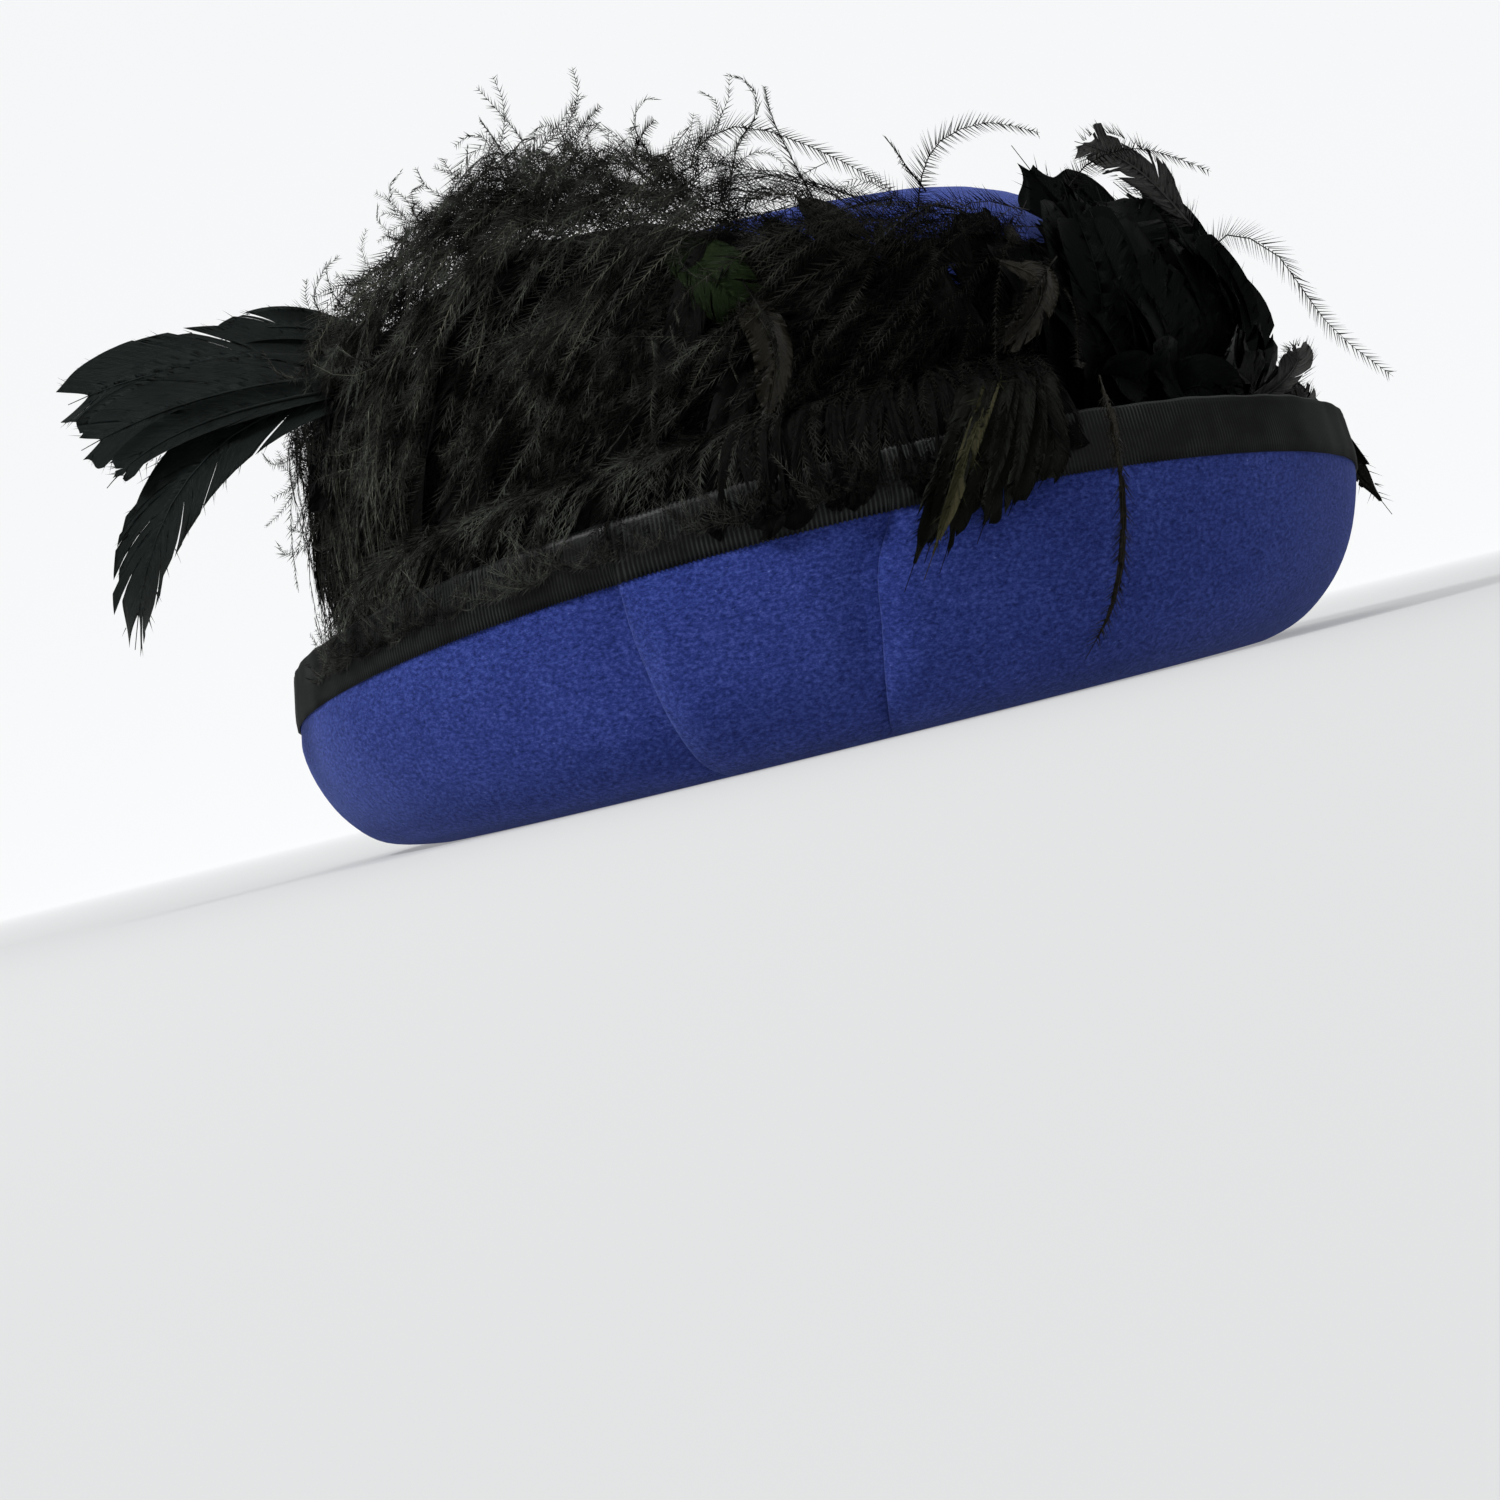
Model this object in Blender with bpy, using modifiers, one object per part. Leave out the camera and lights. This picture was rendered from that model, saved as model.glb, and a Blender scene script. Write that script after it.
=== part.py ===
"""Felt hat with a domed crown, a deep turned-up brim, a ribbon-bound edge and a feather trim.

Metres, +Z up. The wearer looks along -Y, so the wearer's right side, which carries the tucks, is -X.
The origin is the middle of the head opening, on the plane that the brim rests on.
Angles in the tables are degrees round the hat: 0 left side, 90 back, 180 right side, 270 front.
"""
import math
from collections import namedtuple

import bmesh
import bpy
from mathutils import Vector

MM = 0.001

# Driving sizes: the head's in millimetres, as in the tables, and the rest in metres
HEAD_LENGTH = 200
HEAD_WIDTH = 165
HEAD_HALF_SIZES = (HEAD_WIDTH / 2, HEAD_LENGTH / 2, HEAD_LENGTH / 2)
HEAD_LINE = 31
COLLAR_HEIGHT = 11
CROWN_EDGE = 33 * MM
CROWN_SHOULDER = 110 * MM
CROWN_TOP = 165 * MM
CROWN_FLARE = 3.2 * MM
DOME_SQUARENESS = 3.75
RIM_AT_ENDS = 59 * MM
RIM_AT_SIDES = 76 * MM
FELT = 2.5 * MM
SEAM_GAP = 0.3 * MM
RIBBON = 1.0 * MM
RIBBON_GAP = 0.4 * MM
RIBBON_INNER_GAP = 0.6 * MM
COLUMNS = 60
STEP = 2 * math.pi / COLUMNS

# An oval seen from above: half its width, and its reach to the front and to the back
Oval = namedtuple("Oval", "side front back")
COLLAR = Oval(*(size * MM for size in HEAD_HALF_SIZES))

# The brim's outer skin from the collar, under the hat and up to the rim, in millimetres.
# Height is a fixed part plus a share of the rim's height; tuck is how much of a tuck's depth shows there.
BrimRow = namedtuple("BrimRow", "name height rim_share side front back tuck")
BRIM_ROWS = (
    BrimRow("collar_top", HEAD_LINE + COLLAR_HEIGHT, 0.00, *HEAD_HALF_SIZES, 0.0),
    BrimRow("head_line", HEAD_LINE, 0.00, *HEAD_HALF_SIZES, 0.0),
    BrimRow("under_slope", 14, 0.00, 90.5, 106.5, 107.0, 0.0),
    BrimRow("foot_inner", 0, 0.00, 104.0, 117.0, 119.0, 0.0),
    BrimRow("foot_outer", 0, 0.00, 122.0, 133.0, 137.0, 0.2),
    BrimRow("roll_low", 0, 0.07, 135.0, 146.0, 154.5, 0.8),
    BrimRow("roll_middle", 0, 0.22, 144.5, 157.5, 164.5, 1.0),
    BrimRow("roll_high", 0, 0.40, 149.8, 165.3, 170.2, 1.0),
    BrimRow("wall", 0, 0.64, 153.8, 171.0, 173.1, 0.9),
    BrimRow("ribbon_line", -15, 1.00, 154.8, 172.4, 172.0, 0.35),
    BrimRow("rim", 0, 1.00, 155.0, 171.5, 169.0, 0.2),
)
RIBBON_ROW = BRIM_ROWS[-2]
RIM_ROW = BRIM_ROWS[-1]

# The two tucks on the wearer's right: where each fold line meets the rim and the foot, its depth,
# and how far round the hat the raised panel in front of it takes to run out
Tuck = namedtuple("Tuck", "name rim_angle foot_angle depth fade")
TUCKS = (
    Tuck("back_tuck", 159.7, 162.2, 4.2, 21.0),
    Tuck("front_tuck", 186.0, 182.2, 4.0, 26.0),
)
TUCK_HALF_WIDTH = math.radians(0.7)
TUCK_DIP = 1.2 * MM
DIP_FADE = math.radians(9)

# How far the feather trim stands off the crown, and how high it reaches, round the hat (millimetres)
TrimRow = namedtuple("TrimRow", "angle reach top")
TRIM_ROWS = (
    TrimRow(-30, 33, 116),
    TrimRow(0, 34, 126),
    TrimRow(45, 38, 150),
    TrimRow(90, 40, 162),
    TrimRow(120, 40, 168),
    TrimRow(150, 38, 170),
    TrimRow(178, 36, 162),
    TrimRow(196, 35, 140),
    TrimRow(214, 34, 120),
    TrimRow(240, 36, 124),
    TrimRow(270, 38, 134),
    TrimRow(300, 36, 124),
    TrimRow(330, 33, 116),
)
TRIM_FOOT = 50 * MM
TRIM_GAP = 0.5 * MM

# The pad under the feathers in section: shares of the trim's reach off the crown and of its height
PadPoint = namedtuple("PadPoint", "name reach lift")
PAD_SECTION = (
    PadPoint("inner_low", 0.00, 0.00),
    PadPoint("under", 0.50, 0.00),
    PadPoint("low_bulge", 0.88, 0.16),
    PadPoint("bulge", 1.00, 0.40),
    PadPoint("shoulder", 0.90, 0.68),
    PadPoint("upper", 0.60, 0.90),
    PadPoint("crest", 0.20, 1.00),
    PadPoint("inner_high", 0.00, 0.58),
)

# Rows of feathers on a pad: how many, from which angle to which, then root, middle and tip as shares of the
# trim's reach and height there, the swing of the tip round the hat (degrees), and half widths at root and
# tip (millimetres)
LockRow = namedtuple(
    "LockRow",
    "name count first last root_reach root_lift mid_reach mid_lift tip_reach tip_lift swing root tip",
)
OSTRICH_PAD = (-30, 204)
OSTRICH_LOCKS = (
    LockRow("low_fringe", 11, -20, 186, 0.66, 0.30, 1.12, 0.36, 1.30, 0.19, -8, 9.0, 3.0),
    LockRow("outer_arches", 12, -14, 187, 0.60, 0.60, 1.15, 0.74, 1.32, 0.46, -9, 9.5, 3.0),
    LockRow("upright_curls", 9, 8, 184, 0.48, 0.80, 0.88, 1.06, 1.05, 1.12, 8, 8.5, 2.5),
    LockRow("inward_curls", 9, 16, 180, 0.26, 0.88, 0.36, 1.10, -0.20, 1.15, 12, 8.0, 2.5),
    LockRow("rim_drape", 4, 118, 158, 0.70, 0.46, 1.45, 0.55, 1.92, 0.37, -5, 6.0, 2.0),
    LockRow("tall_curls", 3, 112, 180, 0.24, 0.90, 0.10, 1.14, -0.50, 1.29, 10, 4.0, 1.0),
)
COQUE_PAD = (210, 324)
COQUE_LEAVES = (
    LockRow("low_leaves", 8, 224, 316, 0.66, 0.60, 1.20, 0.62, 1.35, 0.32, -6, 14.0, 6.0),
    LockRow("outer_leaves", 8, 220, 319, 0.62, 0.84, 1.16, 1.00, 1.38, 0.66, -7, 14.0, 6.0),
    LockRow("upright_leaves", 7, 224, 312, 0.36, 0.80, 0.92, 1.18, 0.20, 1.42, 5, 15.0, 6.0),
)
LEAF_HALF_DEPTH = 1.5
UNEVENNESS = 0.03

# Long tail feathers behind: root, middle and tip, and half width (millimetres)
TailFeather = namedtuple("TailFeather", "name root middle tip half_width")
TAIL_FEATHERS = (
    TailFeather("thin_upper", (-42, 110, 146), (-40, 138, 165), (-36, 168, 167), 5),
    TailFeather("broad_upper", (-44, 110, 144), (-44, 165, 160), (-36, 217, 159), 12),
    TailFeather("broad_middle", (-48, 110, 142), (-55, 164, 149), (-60, 212, 141), 11),
    TailFeather("short_lower", (-50, 112, 140), (-62, 170, 141), (-66, 205, 127), 5),
    TailFeather("curved_lower", (-50, 112, 138), (-64, 172, 130), (-73, 206, 79), 11),
)
TAIL_ROOT = ((-43, 106, 134), (-52, 122, 146))
TAIL_ROOT_HALF = (6.0, 8.0)
TAIL_HALF_DEPTH = 1.2
TAIL_ACROSS = Vector((0.45, 0.0, 0.9))

# Narrow feathers that droop over the ribbon on the wearer's right: angles round the hat of the root, of the
# crossing over the rim and of the tip, the tip's height and half the width
Hackle = namedtuple("Hackle", "name root_angle rim_angle tip_angle tip_height half_width")
HACKLES = (
    Hackle("back_point", 208.6, 198.5, 184.5, 35, 4.0),
    Hackle("middle_point", 209.9, 200.3, 188.0, 38, 4.5),
    Hackle("front_point", 211.2, 202.2, 192.0, 44, 4.5),
    Hackle("short_front", 212.5, 204.5, 199.0, 56, 4.5),
)
HACKLE_ROOT = (20, 92)
HACKLE_OVER_RIM = (-6, 16)
HACKLE_OFF_WALL = 4.6
HACKLE_HALF_DEPTH = 1.0
POCKET_GAP = 0.5

FELT_BLUE = (0.032, 0.046, 0.19)
RIBBON_BLACK = (0.010, 0.010, 0.012)
OSTRICH_BLACK = (0.012, 0.012, 0.011)
COQUE_BLACK = (0.006, 0.007, 0.007)
TAIL_BLACK = (0.006, 0.010, 0.010)


# Plans and heights round the hat

def oval_point(oval, angle):
    """A point of the oval; its front and back halves are half ellipses of one width."""
    reach = oval.back if math.sin(angle) > 0 else oval.front
    return Vector((oval.side * math.cos(angle), reach * math.sin(angle), 0))


def oval_normal(oval, angle):
    """The way out of the oval at an angle."""
    reach = oval.back if math.sin(angle) > 0 else oval.front
    return Vector((math.cos(angle) / oval.side, math.sin(angle) / reach, 0)).normalized()


def grown(oval, margin):
    """The oval with every half size larger by a margin."""
    return Oval(oval.side + margin, oval.front + margin, oval.back + margin)


def interpolate(value, places, results):
    """Straight-line interpolation in a rising list of places."""
    for index in range(len(places) - 1):
        if value <= places[index + 1]:
            break
    share = (value - places[index]) / (places[index + 1] - places[index])
    share = min(max(share, 0.0), 1.0)
    return results[index] + (results[index + 1] - results[index]) * share


def rim_height(angle):
    """The rim is lower at the front and back than at the sides."""
    return RIM_AT_ENDS + (RIM_AT_SIDES - RIM_AT_ENDS) * abs(math.cos(angle)) ** 1.2


# The brim

def tuck_angle(tuck, share):
    """Where a tuck's fold line is at a share of the rim's height."""
    return math.radians(tuck.foot_angle + (tuck.rim_angle - tuck.foot_angle) * share)


def tuck_offset(angle, share):
    """How far the tucks push the brim out: the panel in front of each fold line lies on the one behind it."""
    offset = 0.0
    for tuck in TUCKS:
        ahead = angle - tuck_angle(tuck, share)
        run_out = ahead / math.radians(tuck.fade)
        if 0 < run_out < 1:
            offset += tuck.depth * MM * (1 - run_out) ** 1.2
        if -DIP_FADE < ahead < 0:
            offset -= TUCK_DIP * (1 + ahead / DIP_FADE)
    return offset


def column_angle(column, row):
    """Columns are even round the hat, but two of them run down the two sides of each fold line."""
    even = column * STEP
    places = []
    angles = []
    for tuck in TUCKS:
        line = tuck_angle(tuck, row.rim_share)
        behind = int(math.radians(tuck.foot_angle + tuck.rim_angle) / 2 / STEP)
        places += [behind, behind + 1]
        angles += [line - TUCK_HALF_WIDTH, line + TUCK_HALF_WIDTH]
    places = [places[0] - 4] + places + [places[-1] + 4]
    angles = [places[0] * STEP] + angles + [places[-1] * STEP]
    if column <= places[0] or column >= places[-1]:
        return even
    snapped = interpolate(column, places, angles)
    return even + (snapped - even) * (1 if row.rim_share else row.tuck)


def brim_skin(column, row):
    """A point of the brim's outer skin on one column and one row."""
    angle = column_angle(column, row)
    oval = Oval(row.side * MM, row.front * MM, row.back * MM)
    out = oval_normal(oval, angle) * tuck_offset(angle, row.rim_share) * row.tuck
    height = row.height * MM + row.rim_share * rim_height(angle)
    return oval_point(oval, angle) + out + Vector((0, 0, height))


def turned_surface(name, rows, place):
    """An open surface: a profile of unit points is spun round, then each point goes where place says."""
    mesh = bmesh.new()
    profile = [mesh.verts.new((1, 0, row)) for row in range(rows)]
    edges = [mesh.edges.new(pair) for pair in zip(profile, profile[1:])]
    bmesh.ops.spin(mesh, geom=profile + edges, cent=(0, 0, 0), axis=(0, 0, 1), angle=2 * math.pi,
                   steps=COLUMNS, use_merge=True)
    bmesh.ops.remove_doubles(mesh, verts=mesh.verts, dist=0.001)
    for vert in mesh.verts:
        column = round(math.atan2(vert.co.y, vert.co.x) / STEP) % COLUMNS
        vert.co = place(column, round(vert.co.z))
    bmesh.ops.reverse_faces(mesh, faces=mesh.faces)
    return finished(name, mesh)


def finished(name, mesh):
    """The bmesh as an object of its own."""
    data = bpy.data.meshes.new(name)
    mesh.to_mesh(data)
    mesh.free()
    piece = bpy.data.objects.new(name, data)
    hat.objects.link(piece)
    return piece


def thicken(piece, thickness, offset):
    """A wall from an open surface."""
    wall = piece.modifiers.new("wall", "SOLIDIFY")
    wall.thickness = thickness
    wall.offset = offset
    wall.use_even_offset = True


def make_brim():
    piece = turned_surface("brim", len(BRIM_ROWS), lambda column, row: brim_skin(column, BRIM_ROWS[row]))
    thicken(piece, FELT, -1)
    return piece


def make_binding():
    """Ribbon folded over the rim: down the outside, over the edge and down the inside."""
    def place(column, row):
        rim = brim_skin(column, RIM_ROW)
        low = brim_skin(column, RIBBON_ROW)
        out = oval_normal(Oval(RIM_ROW.side, RIM_ROW.front, RIM_ROW.back), column_angle(column, RIM_ROW))
        outside = out * RIBBON_GAP
        inside = -out * (FELT + RIBBON_INNER_GAP)
        up = Vector((0, 0, RIBBON_GAP))
        return (low + outside, rim + outside + up, rim + inside + up, low + inside)[row]

    piece = turned_surface("brim_binding", 4, place)
    thicken(piece, RIBBON, 1)
    return piece


# The crown

def crown_outline(height):
    """The crown's outer oval at a height: a slightly flared wall, then a squared dome."""
    wall = grown(COLLAR, FELT + SEAM_GAP + FELT)
    if height <= CROWN_SHOULDER:
        return grown(wall, CROWN_FLARE * (height - CROWN_EDGE) / (CROWN_SHOULDER - CROWN_EDGE))
    rise = (height - CROWN_SHOULDER) / (CROWN_TOP - CROWN_SHOULDER)
    share = max(1 - rise ** DOME_SQUARENESS, 0.0) ** (1 / DOME_SQUARENESS)
    full = grown(wall, CROWN_FLARE)
    return Oval(full.side * share, full.front * share, full.back * share)


def dome_heights(turns):
    """Heights of the dome's rows, closer together towards the top."""
    rise = CROWN_TOP - CROWN_SHOULDER
    return [CROWN_SHOULDER + rise * math.sin(math.radians(turn)) ** (2 / DOME_SQUARENESS) for turn in turns]


def make_crown():
    heights = [CROWN_EDGE] + dome_heights((0, 12, 30, 48, 66, 84))
    piece = turned_surface("crown", len(heights), lambda column, row: (
        oval_point(crown_outline(heights[row]), column * STEP) + Vector((0, 0, heights[row]))))
    close_top(piece, heights[-1])
    thicken(piece, FELT, -1)
    return piece


def close_top(piece, height):
    """Fill the ring of edges at a height with one flat face."""
    mesh = bmesh.new()
    mesh.from_mesh(piece.data)
    ring = [edge for edge in mesh.edges if all(abs(vert.co.z - height) < 1e-6 for vert in edge.verts)]
    bmesh.ops.contextual_create(mesh, geom=ring)
    bmesh.ops.recalc_face_normals(mesh, faces=mesh.faces)
    mesh.to_mesh(piece.data)
    mesh.free()


# Feathers

def trim_size(angle_degrees):
    """Reach and top of the trim at an angle."""
    turned = (angle_degrees + 30) % 360 - 30
    angles = [row.angle for row in TRIM_ROWS]
    reach = interpolate(turned, angles, [row.reach for row in TRIM_ROWS])
    top = interpolate(turned, angles, [row.top for row in TRIM_ROWS])
    return reach * MM, top * MM


def off_crown(angle_degrees, reach, height):
    """A point at a reach off the crown's wall, in metres."""
    angle = math.radians(angle_degrees)
    wall = crown_outline(min(height, CROWN_SHOULDER))
    return oval_point(wall, angle) + oval_normal(wall, angle) * reach + Vector((0, 0, height))


def bent_column(name, sides, spans, place):
    """A closed column with the given sides, cut into spans, each point of which goes where place says."""
    mesh = bmesh.new()
    bmesh.ops.create_cone(mesh, cap_ends=True, segments=sides, radius1=1, radius2=1, depth=1)
    upright = [edge for edge in mesh.edges if abs(edge.verts[0].co.z - edge.verts[1].co.z) > 0.5]
    bmesh.ops.subdivide_edges(mesh, edges=upright, cuts=spans - 1, use_grid_fill=True)
    for vert in mesh.verts:
        vert.co = place(vert.co.x, vert.co.y, vert.co.z + 0.5)
    if mesh.calc_volume(signed=True) < 0:
        bmesh.ops.reverse_faces(mesh, faces=mesh.faces)
    return finished(name, mesh)


def curve_through(root, middle, tip, share):
    """A smooth curve from root to tip that passes the middle point half way."""
    pull = middle * 2 - (root + tip) / 2
    return root * (1 - share) ** 2 + pull * 2 * share * (1 - share) + tip * share ** 2


def bent_feather(name, path, half_width, half_depth, across, sides=6, spans=4):
    """A closed blade along a path; across is the way its width lies, half sizes are functions of the share."""
    def place(x, y, share):
        ahead = (path(share + 0.01) - path(share - 0.01)).normalized()
        flat = ahead.cross(across).normalized()
        wide = flat.cross(ahead)
        return path(share) + wide * x * half_width(share) + flat * y * half_depth(share)

    return bent_column(name, sides, spans, place)


def make_pad(name, limits):
    """The pad that the feathers are stitched to: a bolster that follows the crown's wall."""
    first, last = limits
    spans = round((last - first) / math.degrees(STEP))

    def place(x, y, share):
        corner = PAD_SECTION[round(math.atan2(y, x) / (2 * math.pi) * len(PAD_SECTION)) % len(PAD_SECTION)]
        return on_trim(first + (last - first) * share, corner.reach, corner.lift)

    return bent_column(name, len(PAD_SECTION), spans, place)


def on_trim(angle, reach_share, lift):
    """A point at shares of the trim's reach and height at an angle."""
    reach, top = trim_size(angle)
    return off_crown(angle, TRIM_GAP + reach_share * reach, TRIM_FOOT + lift * (top - TRIM_FOOT))


def row_feathers(row, shape):
    """Every feather of a row, spread evenly round the hat; shape makes one from its path and half widths."""
    pieces = []
    for index in range(row.count):
        angle = row.first + (row.last - row.first) * index / (row.count - 1)
        lift = UNEVENNESS * math.sin(index * 2.4)
        root = on_trim(angle, row.root_reach, row.root_lift)
        middle = on_trim(angle + row.swing * 0.4, row.mid_reach, row.mid_lift + lift)
        tip = on_trim(angle + row.swing, row.tip_reach, row.tip_lift + lift)
        around = oval_normal(COLLAR, math.radians(angle)).cross(Vector((0, 0, 1)))

        def path(share, root=root, middle=middle, tip=tip):
            return curve_through(root, middle, tip, share)

        pieces.append(shape(f"{row.name}_{index}", path, around, row))
    return pieces


def round_lock(name, path, around, row):
    """A curled lock of flues, round in section and tapering to its tip."""
    def half(share):
        return (row.root + (row.tip - row.root) * share) * MM
    return bent_feather(name, path, half, half, around, sides=5, spans=3)


def leaf(name, path, around, row):
    """A body feather: a thin blade, widest past its middle, with a blunt tip."""
    def half(share):
        return (row.tip + (row.root - row.tip) * math.sin(math.pi * min(max(share, 0), 1)) ** 0.7) * MM

    def depth(share):
        return LEAF_HALF_DEPTH * MM
    return bent_feather(name, path, half, depth, around, sides=4, spans=4)


def join_solids(piece, additions, cutters=(), solver="EXACT"):
    """Fuse the additions into the piece, cut the cutters out of it, and keep the one body that results."""
    groups = (("fused", "UNION", additions), ("cut", "DIFFERENCE", cutters))
    for label, operation, group in groups:
        if not group:
            continue
        holder = bpy.data.collections.new(f"{piece.name}_{label}")
        for other in group:
            hat.objects.unlink(other)
            holder.objects.link(other)
        boolean = piece.modifiers.new(label, "BOOLEAN")
        boolean.operation = operation
        boolean.operand_type = "COLLECTION"
        boolean.collection = holder
        boolean.solver = solver
    bpy.context.view_layer.update()
    depsgraph = bpy.context.evaluated_depsgraph_get()
    result = bpy.data.meshes.new_from_object(piece.evaluated_get(depsgraph))
    piece.modifiers.clear()
    piece.data = result
    for other in [*additions, *cutters]:
        bpy.data.objects.remove(other)
    keep_largest_body(piece)
    return piece


def keep_largest_body(piece):
    """Drop tips that a cut has parted from the piece."""
    mesh = bmesh.new()
    mesh.from_mesh(piece.data)
    waiting = set(mesh.verts)
    bodies = []
    while waiting:
        body = set()
        front = [waiting.pop()]
        while front:
            vert = front.pop()
            body.add(vert)
            for edge in vert.link_edges:
                other = edge.other_vert(vert)
                if other in waiting:
                    waiting.remove(other)
                    front.append(other)
        bodies.append(body)
    bodies.sort(key=len, reverse=True)
    for body in bodies[1:]:
        bmesh.ops.delete(mesh, geom=list(body), context="VERTS")
    mesh.to_mesh(piece.data)
    mesh.free()


def tail_pieces(margin):
    """The root of the tail spray and its long feathers, all larger by a margin in millimetres."""
    start, end = (Vector(point) * MM for point in TAIL_ROOT)
    thick, thin = TAIL_ROOT_HALF
    pieces = [bent_feather(
        "tail_root", lambda share: start.lerp(end, share) + (end - start).normalized() * margin * MM * (2 * share - 1),
        lambda share: (thick + margin) * MM, lambda share: (thin + margin) * MM, TAIL_ACROSS, sides=8, spans=1)]
    for feather in TAIL_FEATHERS:
        root, middle, tip = (Vector(point) * MM for point in (feather.root, feather.middle, feather.tip))

        def path(share, root=root, middle=middle, tip=tip):
            return curve_through(root, middle, tip, share * (1 + margin / 80))

        def half(share, full=feather.half_width):
            swell = 0.30 + 0.70 * math.sin(math.pi * min(max(0.08 + 0.72 * share, 0), 1))
            return (full * swell + margin) * MM

        def depth(share):
            return (TAIL_HALF_DEPTH + margin) * MM

        pieces.append(bent_feather(feather.name, path, half, depth, TAIL_ACROSS, sides=6, spans=5))
    return pieces


def hackle_pieces(margin):
    """The narrow feathers over the ribbon, from the pad, over the rim and down the outside of the brim."""
    pieces = []
    for feather in HACKLES:
        points = hackle_points(feather)

        def path(share, points=points):
            return smooth_path(points, share * (1 + margin / 60))

        def half(share, full=feather.half_width):
            return (full * (1 - 0.75 * min(max(share, 0), 1) ** 2) + margin) * MM

        def depth(share):
            return (HACKLE_HALF_DEPTH + margin) * MM

        around = oval_normal(COLLAR, math.radians(feather.rim_angle)).cross(Vector((0, 0, 1)))
        pieces.append(bent_feather(feather.name, path, half, depth, around, sides=6, spans=6))
    return pieces


def hackle_points(feather):
    """Root in the pad, a point above the rim, one outside the ribbon and the tip, off the brim's wall."""
    reach, height = HACKLE_ROOT
    inward, upward = HACKLE_OVER_RIM
    rim = Oval(RIM_ROW.side * MM, RIM_ROW.front * MM, RIM_ROW.back * MM)
    tuck = max(row.depth for row in TUCKS)
    crossing = math.radians(feather.rim_angle)
    tip = math.radians(feather.tip_angle)
    halfway = (crossing + tip) / 2
    root = off_crown(feather.root_angle, reach * MM, height * MM)
    over = oval_point(grown(rim, inward * MM), crossing)
    over.z = rim_height(crossing) + upward * MM
    outside = oval_point(grown(rim, (HACKLE_OFF_WALL + 1.4) * MM), halfway)
    outside.z = rim_height(halfway) - 8 * MM
    low = oval_point(grown(rim, (HACKLE_OFF_WALL + tuck - 2) * MM), tip)
    low.z = feather.tip_height * MM
    return [root, over, outside, low]


def smooth_path(points, share):
    """A smooth curve through all the points, straight past its ends."""
    last = len(points) - 1
    place = min(max(share, 0), 1) * last
    index = min(int(place), last - 1)
    local = place - index
    start, end = points[index], points[index + 1]
    before = points[index - 1] if index else start * 2 - end
    after = points[index + 2] if index + 2 <= last else end * 2 - start
    bend = (before * -0.5 + start * 1.5 - end * 1.5 + after * 0.5) * local ** 3
    bend += (before - start * 2.5 + end * 2 - after * 0.5) * local ** 2
    bend += (end - before) * 0.5 * local + start
    beyond = share - min(max(share, 0), 1)
    return bend + (end - start) * beyond * last


def make_tail_spray():
    root, *feathers = tail_pieces(0)
    root.name = "tail_spray"
    return join_solids(root, feathers)


def make_hackle_spray():
    first, *others = hackle_pieces(0)
    first.name = "hackle_spray"
    return join_solids(first, others)


def make_ostrich_plume():
    pad = make_pad("ostrich_plume", OSTRICH_PAD)
    locks = [lock for row in OSTRICH_LOCKS for lock in row_feathers(row, round_lock)]
    return join_solids(pad, locks, tail_pieces(POCKET_GAP) + hackle_pieces(POCKET_GAP), solver="MANIFOLD")


def make_coque_pad():
    pad = make_pad("coque_pad", COQUE_PAD)
    leaves = [blade for row in COQUE_LEAVES for blade in row_feathers(row, leaf)]
    # The exact solver leaves open edges where so many thin leaves cross
    return join_solids(pad, leaves, hackle_pieces(POCKET_GAP), solver="MANIFOLD")


def paint(piece, colour, roughness):
    """A finish of its own for each piece."""
    material = bpy.data.materials.new(piece.name)
    material.use_nodes = True
    shader = material.node_tree.nodes["Principled BSDF"]
    shader.inputs["Base Color"].default_value = (*colour, 1)
    shader.inputs["Roughness"].default_value = roughness
    shader.inputs["Metallic"].default_value = 0
    piece.data.materials.clear()
    piece.data.materials.append(material)
    piece.data.shade_smooth()
    piece.data.set_sharp_from_angle(angle=math.radians(40))


for old in list(bpy.data.objects):
    bpy.data.objects.remove(old)
hat = bpy.data.collections.new("felt_hat")
bpy.context.scene.collection.children.link(hat)

paint(make_crown(), FELT_BLUE, 0.9)
paint(make_brim(), FELT_BLUE, 0.9)
paint(make_binding(), RIBBON_BLACK, 0.6)
paint(make_tail_spray(), TAIL_BLACK, 0.35)
paint(make_hackle_spray(), COQUE_BLACK, 0.5)
paint(make_ostrich_plume(), OSTRICH_BLACK, 0.8)
paint(make_coque_pad(), COQUE_BLACK, 0.35)
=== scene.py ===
"""Felt hat with a deep turned-up brim, a ribbon-bound edge and a black feather trim, on its CAD frame."""
import math

import bmesh
import bpy
import numpy as np
from mathutils import Matrix, Vector, noise


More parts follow.
